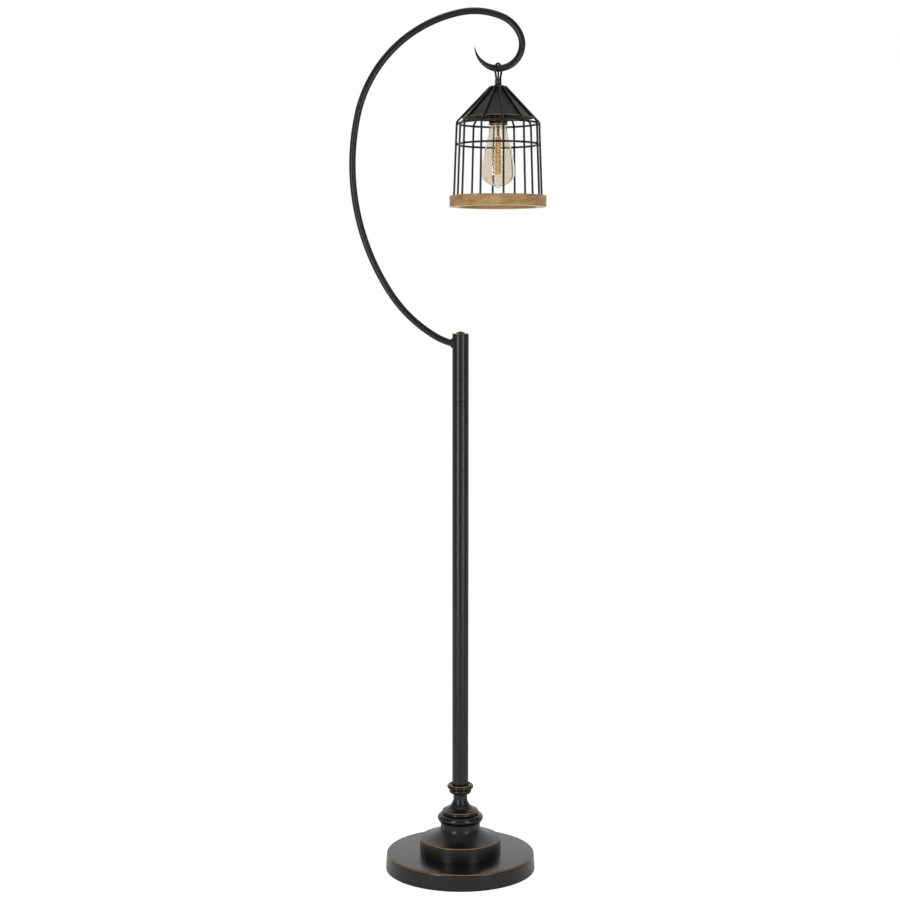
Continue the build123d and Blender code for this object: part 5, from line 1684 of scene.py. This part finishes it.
@dataclass
class Bulb(SubAssembly):
    """The pear-shaped bulb with its cap, stem and filaments, in millimetres and degrees."""

    centre_x: float
    top: float
    length: float = 142.0
    tip: float = 2.4
    glass_length: float = 116.0
    crown: float = 1.6
    radius: float = 32.0
    neck: float = 17.0
    wall: float = 0.9
    dome: float = 24.5
    side_bend: float = 20.0
    taper: float = 12.5
    throat: float = 60.0
    pip_radius: float = 7.5
    pip: float = 3.6
    cap_radius: float = 13.1
    cap_wall: float = 0.6
    cap_skirt: float = 4.0
    cap_head: float = 3.0
    pitch: float = 3.63
    thread: float = 0.7
    tip_radius: float = 4.8
    stem_radius: float = 2.6
    stem_gap: float = 0.05
    rod_radius: float = 1.2
    drop: float = 21.0
    strands: int = 6
    strand_radius: float = 1.1
    strand_length: float = 69.0
    circle: float = 4.4
    frame: float = 1.0
    hangers: int = 3
    hanger_rise: float = 8.0
    hanger_radius: float = 0.45

    body = Body.BULB

    def __post_init__(self) -> None:
        """Work out the bulb's levels."""
        self.low = self.top - self.length
        self.glass_top = self.low + self.glass_length
        self.glass_head = self.glass_top + self.crown
        self.strand_top = self.glass_top - self.drop
        self.strand_foot = self.strand_top - self.strand_length

    def build(self) -> None:
        """Make the glass and what it holds."""
        self.glass()
        self.cap()
        self.stem()
        self.filaments()

    def profile(self, offset: float) -> Outline:
        """Return the glass wall's line from its lower end up, moved inwards by offset."""
        taper = math.radians(self.taper)
        belly_height = self.low + self.pip + self.dome
        rise = self.glass_top - belly_height
        neck_drop = self.throat * (1 - math.cos(taper))
        spare = rise - self.throat * math.sin(taper)
        spare -= (self.radius - self.neck - neck_drop) / math.tan(taper)
        belly = spare / (math.sin(taper) - (1 - math.cos(taper)) / math.tan(taper))
        side = self.radius - self.side_bend
        floor = self.dome ** 2 + side ** 2 - self.side_bend ** 2
        floor /= 2 * (self.dome - self.side_bend)
        floor_height = belly_height - self.dome + floor
        knee = math.atan2(side, floor_height - belly_height) - math.pi / 2

        belly_centre = (self.radius - belly, belly_height)
        throat_centre = (self.neck + self.throat, self.glass_top)
        floor_centre, side_centre = (0.0, floor_height), (side, belly_height)
        if offset:
            outline, begin = Outline((0.0, floor_height - floor + offset)), -math.pi / 2
        else:
            outline, begin = self.pip_line(floor_centre, floor)
        outline.swing(floor_centre, floor - offset, begin, knee, 16)
        outline.swing(side_centre, self.side_bend - offset, knee, 0.0, 22)
        outline.swing(belly_centre, belly - offset, 0.0, taper, 12)
        outline.to(polar(throat_centre, self.throat + offset, math.pi + taper))
        return outline.swing(
            throat_centre, self.throat + offset, math.pi + taper, math.pi, 10
        )

    def pip_line(self, floor_centre: Point, floor: float) -> tuple[Outline, float]:
        """Return the pip's line and the angle where it meets the dome.

        Args:
            floor_centre: Centre of the dome's arc.
            floor: Radius of the dome's arc.

        Returns:
            The outline so far, and the angle on the dome's arc.
        """
        centre = (0.0, self.low + self.pip_radius)
        level = floor ** 2 - floor_centre[1] ** 2 - self.pip_radius ** 2 + centre[1] ** 2
        level /= 2 * (centre[1] - floor_centre[1])
        out = math.sqrt(self.pip_radius ** 2 - (level - centre[1]) ** 2)
        half = math.atan2(out, centre[1] - level) / 2
        outline = Outline((0.0, self.low))
        outline.arc(polar(centre, self.pip_radius, half - math.pi / 2), (out, level), 10)
        return outline, math.atan2(level - floor_centre[1], out)

    def glass(self) -> None:
        """Make the glass as one closed wall."""
        outline = self.profile(0.0)
        head, mouth = self.glass_head, self.cap_radius - self.wall
        shoulder = (outline.points[-1][0] - 1.1, head - 0.45)
        outline.arc(shoulder, (self.cap_radius, head), 6)
        outline.to((mouth, head), (mouth, head - self.wall / 2))
        outline.to(*reversed(self.profile(self.wall).points))
        tint = Blown("bulb_glass_tint", srgb(236, 228, 216)).material()
        self.turn("blown_glass", "bulb_glass", outline, 144, tint, Slot.AMBER, 70)

    def cap(self) -> None:
        """Make the screw cap with its rolled thread."""
        base, head = self.glass_head, self.top - self.tip
        root, wall = self.cap_radius - self.thread, self.cap_wall
        waves = int((head - base - self.cap_skirt - self.cap_head) / self.pitch)
        start = head - self.cap_head - waves * self.pitch
        outline = Outline(
            (root - wall, base), (self.cap_radius, base), (self.cap_radius, start - 1.2),
            (root, start),
        )
        for number in range(waves):
            foot = start + number * self.pitch
            crest = (self.cap_radius, foot + self.pitch / 2)
            outline.arc(crest, (root, foot + self.pitch), 8)
        neck, under = self.tip_radius + 2.0, head - self.cap_head - wall
        outline.to(
            (neck, head), (neck, head - wall), (root - wall - 1.0, under),
            (root - wall, under - 1.0),
        )
        brass = AgedMetal("cap_brass", srgb(186, 160, 112), srgb(126, 100, 66), 0.3).material()
        self.turn("screw_cap", "bulb_cap", outline, 96, brass, Slot.BRASS)

    def stem(self) -> None:
        """Make the glass stem with its flare and its thin rod."""
        seat, rod, high = self.glass_head, self.rod_radius, self.strand_top
        flare = self.cap_radius - self.thread - self.cap_wall - self.stem_gap
        outline = Outline(
            (0.0, self.strand_foot), (rod - 0.3, self.strand_foot),
            (rod, self.strand_foot + 0.3), (rod, high), (self.stem_radius, high + 3.0),
            (self.stem_radius, seat - 4.0),
        )
        outline.bow((flare, seat), -1.6, 10).to((flare, seat + 2.0), (0.0, seat + 2.0))
        clear = Blown("stem_glass", srgb(246, 240, 228)).material()
        self.turn("glass_stem", "bulb_stem", outline, 48, clear, Slot.CLEAR)

    def filaments(self) -> None:
        """Make the upright filaments in a ring and the frames that join them."""
        recipe = GeometryRecipe("filament_cage")
        count = recipe.size("Strands", self.strands)
        circle = recipe.size("Circle", self.circle * MM)
        radius = recipe.size("Strand radius", self.strand_radius * MM)
        length = recipe.size("Strand length", self.strand_length * MM)
        frame = recipe.size("Frame radius", self.frame * 0.5 * MM)
        foot = recipe.size("Foot", self.strand_foot * MM)
        axis = recipe.size("Axis", self.centre_x * MM)
        sweep = {"Curve": recipe.circle(circle, 48), "Profile Curve": recipe.circle(frame, 10)}
        hoop = recipe.step("GeometryNodeCurveToMesh", sweep)
        turn = recipe.index() * math.tau / count
        place = recipe.vector(
            X=recipe.kit.math("COSINE", turn) * circle + axis,
            Y=recipe.kit.math("SINE", turn) * circle,
            Z=length * 0.5 + foot,
        )
        points = recipe.step("GeometryNodePoints", {"Count": count, "Position": place})
        strand = recipe.step("GeometryNodeMeshCylinder", {
            "Vertices": 20, "Side Segments": 1, "Radius": radius, "Depth": length,
        })
        both = recipe.kit.make("GeometryNodeJoinGeometry")
        for geometry in (recipe.spread(recipe.base, hoop), recipe.spread(points, strand)):
            recipe.tree.links.new(geometry, both.inputs[0])
        half = self.frame / 2
        heights = (self.strand_foot + half, self.strand_top - half)
        ends = [(self.centre_x, 0, height) for height in heights]
        base = new_piece("frame_places", ends, [])
        tones = (srgb(224, 188, 112), srgb(204, 166, 90))
        # The bulb is unlit; the glow on the filaments and their frames is a painted glow.
        coating_and_painted_glow = Plain("filament_coating_painted_glow", tones, 500.0, 0.00005, 0.5, glow=0.2).material()
        piece = recipe.run(base, both.outputs[0], coating_and_painted_glow)
        self.keep(piece, coating_and_painted_glow, Slot.FILAMENT, ["bulb_filaments"])
        self.hang_frame(coating_and_painted_glow)

    def hang_frame(self, coating_and_painted_glow: bpy.types.Material) -> None:
        """Make the thin wires that hold the upper frame on the stem."""
        bars = []
        axis = Vector((self.centre_x, 0, self.strand_top))
        for number in range(self.hangers):
            angle = math.tau * (number / self.hangers + 0.05)
            out = Vector((*polar((0.0, 0.0), 1.0, angle), 0))
            start = axis + out * self.rod_radius + UP * self.hanger_rise
            end = axis + out * self.circle - UP * (self.frame / 2)
            trail = Trail()
            for place in (start, end):
                trail.add(place, end - start, self.hanger_radius)
            bars.append(trail.bar(f"hanger_{number}", out.cross(UP), 8))
        piece = joined_pieces("filament_hangers", bars)
        self.keep(piece, coating_and_painted_glow, Slot.FILAMENT, [])


# ------------------------------------------------------------------ nodes kept from the model
def dress_kept_nodes(nodes: Mapping[str, bpy.types.Object]) -> None:
    """Give the model's own nodes that stay in the scene their finishes.

    Args:
        nodes: The model's objects by node name.
    """
    steel = (
        "base_washer", "base_nut", "centre_pipe", "post_foot_plug", "post_lower_plug",
        "post_joint_stud", "post_upper_plug", "nipple", "lock_nut", "bulb_contact",
    )
    finishes = (
        (("base_weight",),
         Plain("raw_iron", (srgb(60, 60, 60), srgb(42, 41, 40)), 220.0, 0.0002, 0.75, 0.4)),
        (("base_pad",),
         Plain("dense_felt", (srgb(34, 34, 34), srgb(52, 52, 52)), 1400.0, 0.0003, 0.95)),
        (("cord_grommet", "lead_stand"),
         Plain("matte_rubber", (srgb(24, 24, 24), srgb(34, 34, 33)), 700.0, 0.00005, 0.6)),
        (steel, AgedMetal("zinc_steel", srgb(178, 176, 170), srgb(140, 136, 128), 0.36)),
        (("cap_screw",),
         RubbedPaint("screw_paint", edges=(WornEdge(6.4, 1049.6, 0.9, 0.5),))),
        (("socket_thread_shell", "socket_contact"),
         AgedMetal("contact_brass", srgb(196, 168, 112), srgb(150, 122, 78), 0.3)),
        (("socket_liner", "socket_block", "bulb_insulator"),
         Plain("pale_insulator", (srgb(214, 208, 192), srgb(196, 189, 172)), 260.0)),
    )
    for names, finish in finishes:
        material = finish.material()
        for name in names:
            for slot in nodes[name].material_slots:
                slot.material = material
        log.info("%s: %d nodes", material.name, len(names))


# ------------------------------------------------------------------ studio
@dataclass
class Studio:
    """The floor, lights and camera; distances in metres, angles in degrees."""

    camera_place: tuple[float, float, float] = (-0.0202, -3.3372, 1.1271)
    camera_drop: float = 5.196
    lens: float = 69.65
    sensor: float = 36.0
    softboxes: tuple[tuple[str, float, float], ...] = (
        ("softbox_left", -37.0, 26.0), ("softbox_right", 37.0, 20.0),
    )
    softbox_away: float = 2.6
    softbox_size: Point = (0.42, 1.9)
    softbox_height: float = 1.05
    overhead_place: tuple[float, float, float] = (0.0, -0.3, 3.4)
    overhead_size: float = 2.2
    overhead_power: float = 14.0
    floor_radius: float = 14.0
    floor_colour: Colour = srgb(235, 235, 235)
    floor_glow: float = 0.6
    floor_mirrored: float = 0.15
    sky: float = 0.6
    dim_side: float = 0.3
    bright_from: Point = (0.42, 0.64)

    def build(self) -> None:
        """Set up the floor, the world, the lights and the camera."""
        self.floor()
        self.world()
        target = Vector((0, 0, self.softbox_height))
        for name, side, power in self.softboxes:
            angle = math.radians(side - 90.0)
            place = Vector((*polar((0.0, 0.0), self.softbox_away, angle), self.softbox_height))
            self.light(name, place, target, self.softbox_size, power)
        size = (self.overhead_size, self.overhead_size)
        place = Vector(self.overhead_place)
        self.light("overhead", place, Vector(), size, self.overhead_power)
        self.camera()
        bpy.context.scene.view_settings.view_transform = "Standard"

    def floor(self) -> None:
        """Make the white floor, which keeps only the lamp's soft shadow."""
        count, reach = 96, self.floor_radius / MM
        points = [(0.0, 0.0, 0.0)]
        for number in range(count):
            points.append((*polar((0.0, 0.0), reach, math.tau * number / count), 0.0))
        faces = [(0, 1 + n, 1 + (n + 1) % count) for n in range(count)]
        floor = new_piece("studio_floor", points, faces)
        kit = ShaderKit("studio_white")
        direct, glossy = self.rays(kit)
        matte = kit.make("ShaderNodeBsdfDiffuse", inputs={"Color": self.floor_colour})
        light = {"Color": WHITE, "Strength": self.floor_glow}
        glow = kit.make("ShaderNodeEmission", inputs=light)
        both = kit.make("ShaderNodeAddShader", inputs={0: matte.outputs[0], 1: glow.outputs[0]})
        share = direct.largest(glossy * self.floor_mirrored)
        mixed = self.mixed(kit, share, matte.outputs[0], both.outputs[0])
        floor.data.materials.append(kit.close(mixed))

    def world(self) -> None:
        """Light the scene evenly and show white behind it, to metal and glass as well."""
        world = bpy.data.worlds.new("studio_world")
        bpy.context.scene.world = world
        world.use_nodes = True
        kit = NodeKit(world.node_tree)
        world.node_tree.nodes.clear()
        direct, glossy = self.rays(kit)
        way = kit.make("ShaderNodeTexCoord").outputs[0]
        axes = kit.make("ShaderNodeSeparateXYZ", inputs={0: way})
        bright = kit.number(axes, "Y").ramp(*self.bright_from)

        def level(strength: float) -> bpy.types.NodeSocket:
            """Return a grey sky of a strength."""
            sky = {"Color": WHITE, "Strength": strength}
            return kit.make("ShaderNodeBackground", inputs=sky).outputs[0]

        mirrored = self.mixed(kit, bright, level(self.dim_side), level(1.0))
        indirect = self.mixed(kit, glossy, level(self.sky), mirrored)
        sky = self.mixed(kit, direct, indirect, level(1.0))
        kit.make("ShaderNodeOutputWorld", inputs={"Surface": sky})

    @staticmethod
    def rays(kit: NodeKit) -> tuple[Signal, Signal]:
        """Return which rays see the studio directly or through glass, and which mirrored."""
        path = kit.make("ShaderNodeLightPath")
        through_glass = kit.number(path, "Is Transmission Ray")
        direct = kit.number(path, "Is Camera Ray").largest(through_glass)
        return direct, kit.number(path, "Is Glossy Ray")

    @staticmethod
    def mixed(
        kit: NodeKit, share: Signal, first: bpy.types.NodeSocket, second: bpy.types.NodeSocket
    ) -> bpy.types.NodeSocket:
        """Mix two shaders; share 0 is the first, share 1 the second."""
        return kit.make("ShaderNodeMixShader", inputs={0: share, 1: first, 2: second}).outputs[0]

    @staticmethod
    def light(name: str, place: Vector, target: Vector, size: Point, power: float) -> None:
        """Make a rectangular light that faces a target.

        Args:
            name: The light's name.
            place: Where it stands, in metres.
            target: The place that it faces.
            size: Its width and height in metres.
            power: Its power in watts.
        """
        data = bpy.data.lights.new(name, "AREA")
        data.shape = "RECTANGLE"
        data.size, data.size_y = size
        data.energy = power
        holder = bpy.data.objects.new(name, data)
        holder.location = place
        holder.rotation_euler = (target - place).to_track_quat("-Z", "Y").to_euler()
        bpy.context.scene.collection.objects.link(holder)

    def camera(self) -> None:
        """Place the camera where the photograph was taken from."""
        data = bpy.data.cameras.new("camera")
        data.lens = self.lens
        data.sensor_width = self.sensor
        data.clip_end = 60.0
        holder = bpy.data.objects.new("camera", data)
        holder.location = self.camera_place
        holder.rotation_euler = (math.radians(90.0 - self.camera_drop), 0.0, 0.0)
        bpy.context.scene.collection.objects.link(holder)
        bpy.context.scene.camera = holder


def main() -> None:
    """Build every sub-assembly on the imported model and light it."""
    logging.basicConfig(level=logging.INFO, format="%(name)s: %(message)s")
    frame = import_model()
    Foot().build()
    Neck().build()
    Post().build()
    arm = Arm()
    arm.build()
    hang_x, hook_low = arm.hook_low()
    hanger = Hanger(hang_x, hook_low, arm.radius)
    hanger.build()

    def node_top(node: str) -> float:
        """Return the height in millimetres of a node's highest point."""
        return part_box(node)[1][2] / MM

    bush = hook_low - arm.radius
    Lead(hang_x, bush + 0.6, node_top("socket_block"), bush, hanger.hub_top + 0.5).build()
    Cage(hang_x, node_top("cage_cap")).build()
    Socket(hang_x, node_top("socket_cap")).build()
    Bulb(hang_x, node_top("bulb_contact")).build()
    dress_kept_nodes(frame["nodes"])
    Studio().build()


if __name__ == "__main__":
    main()
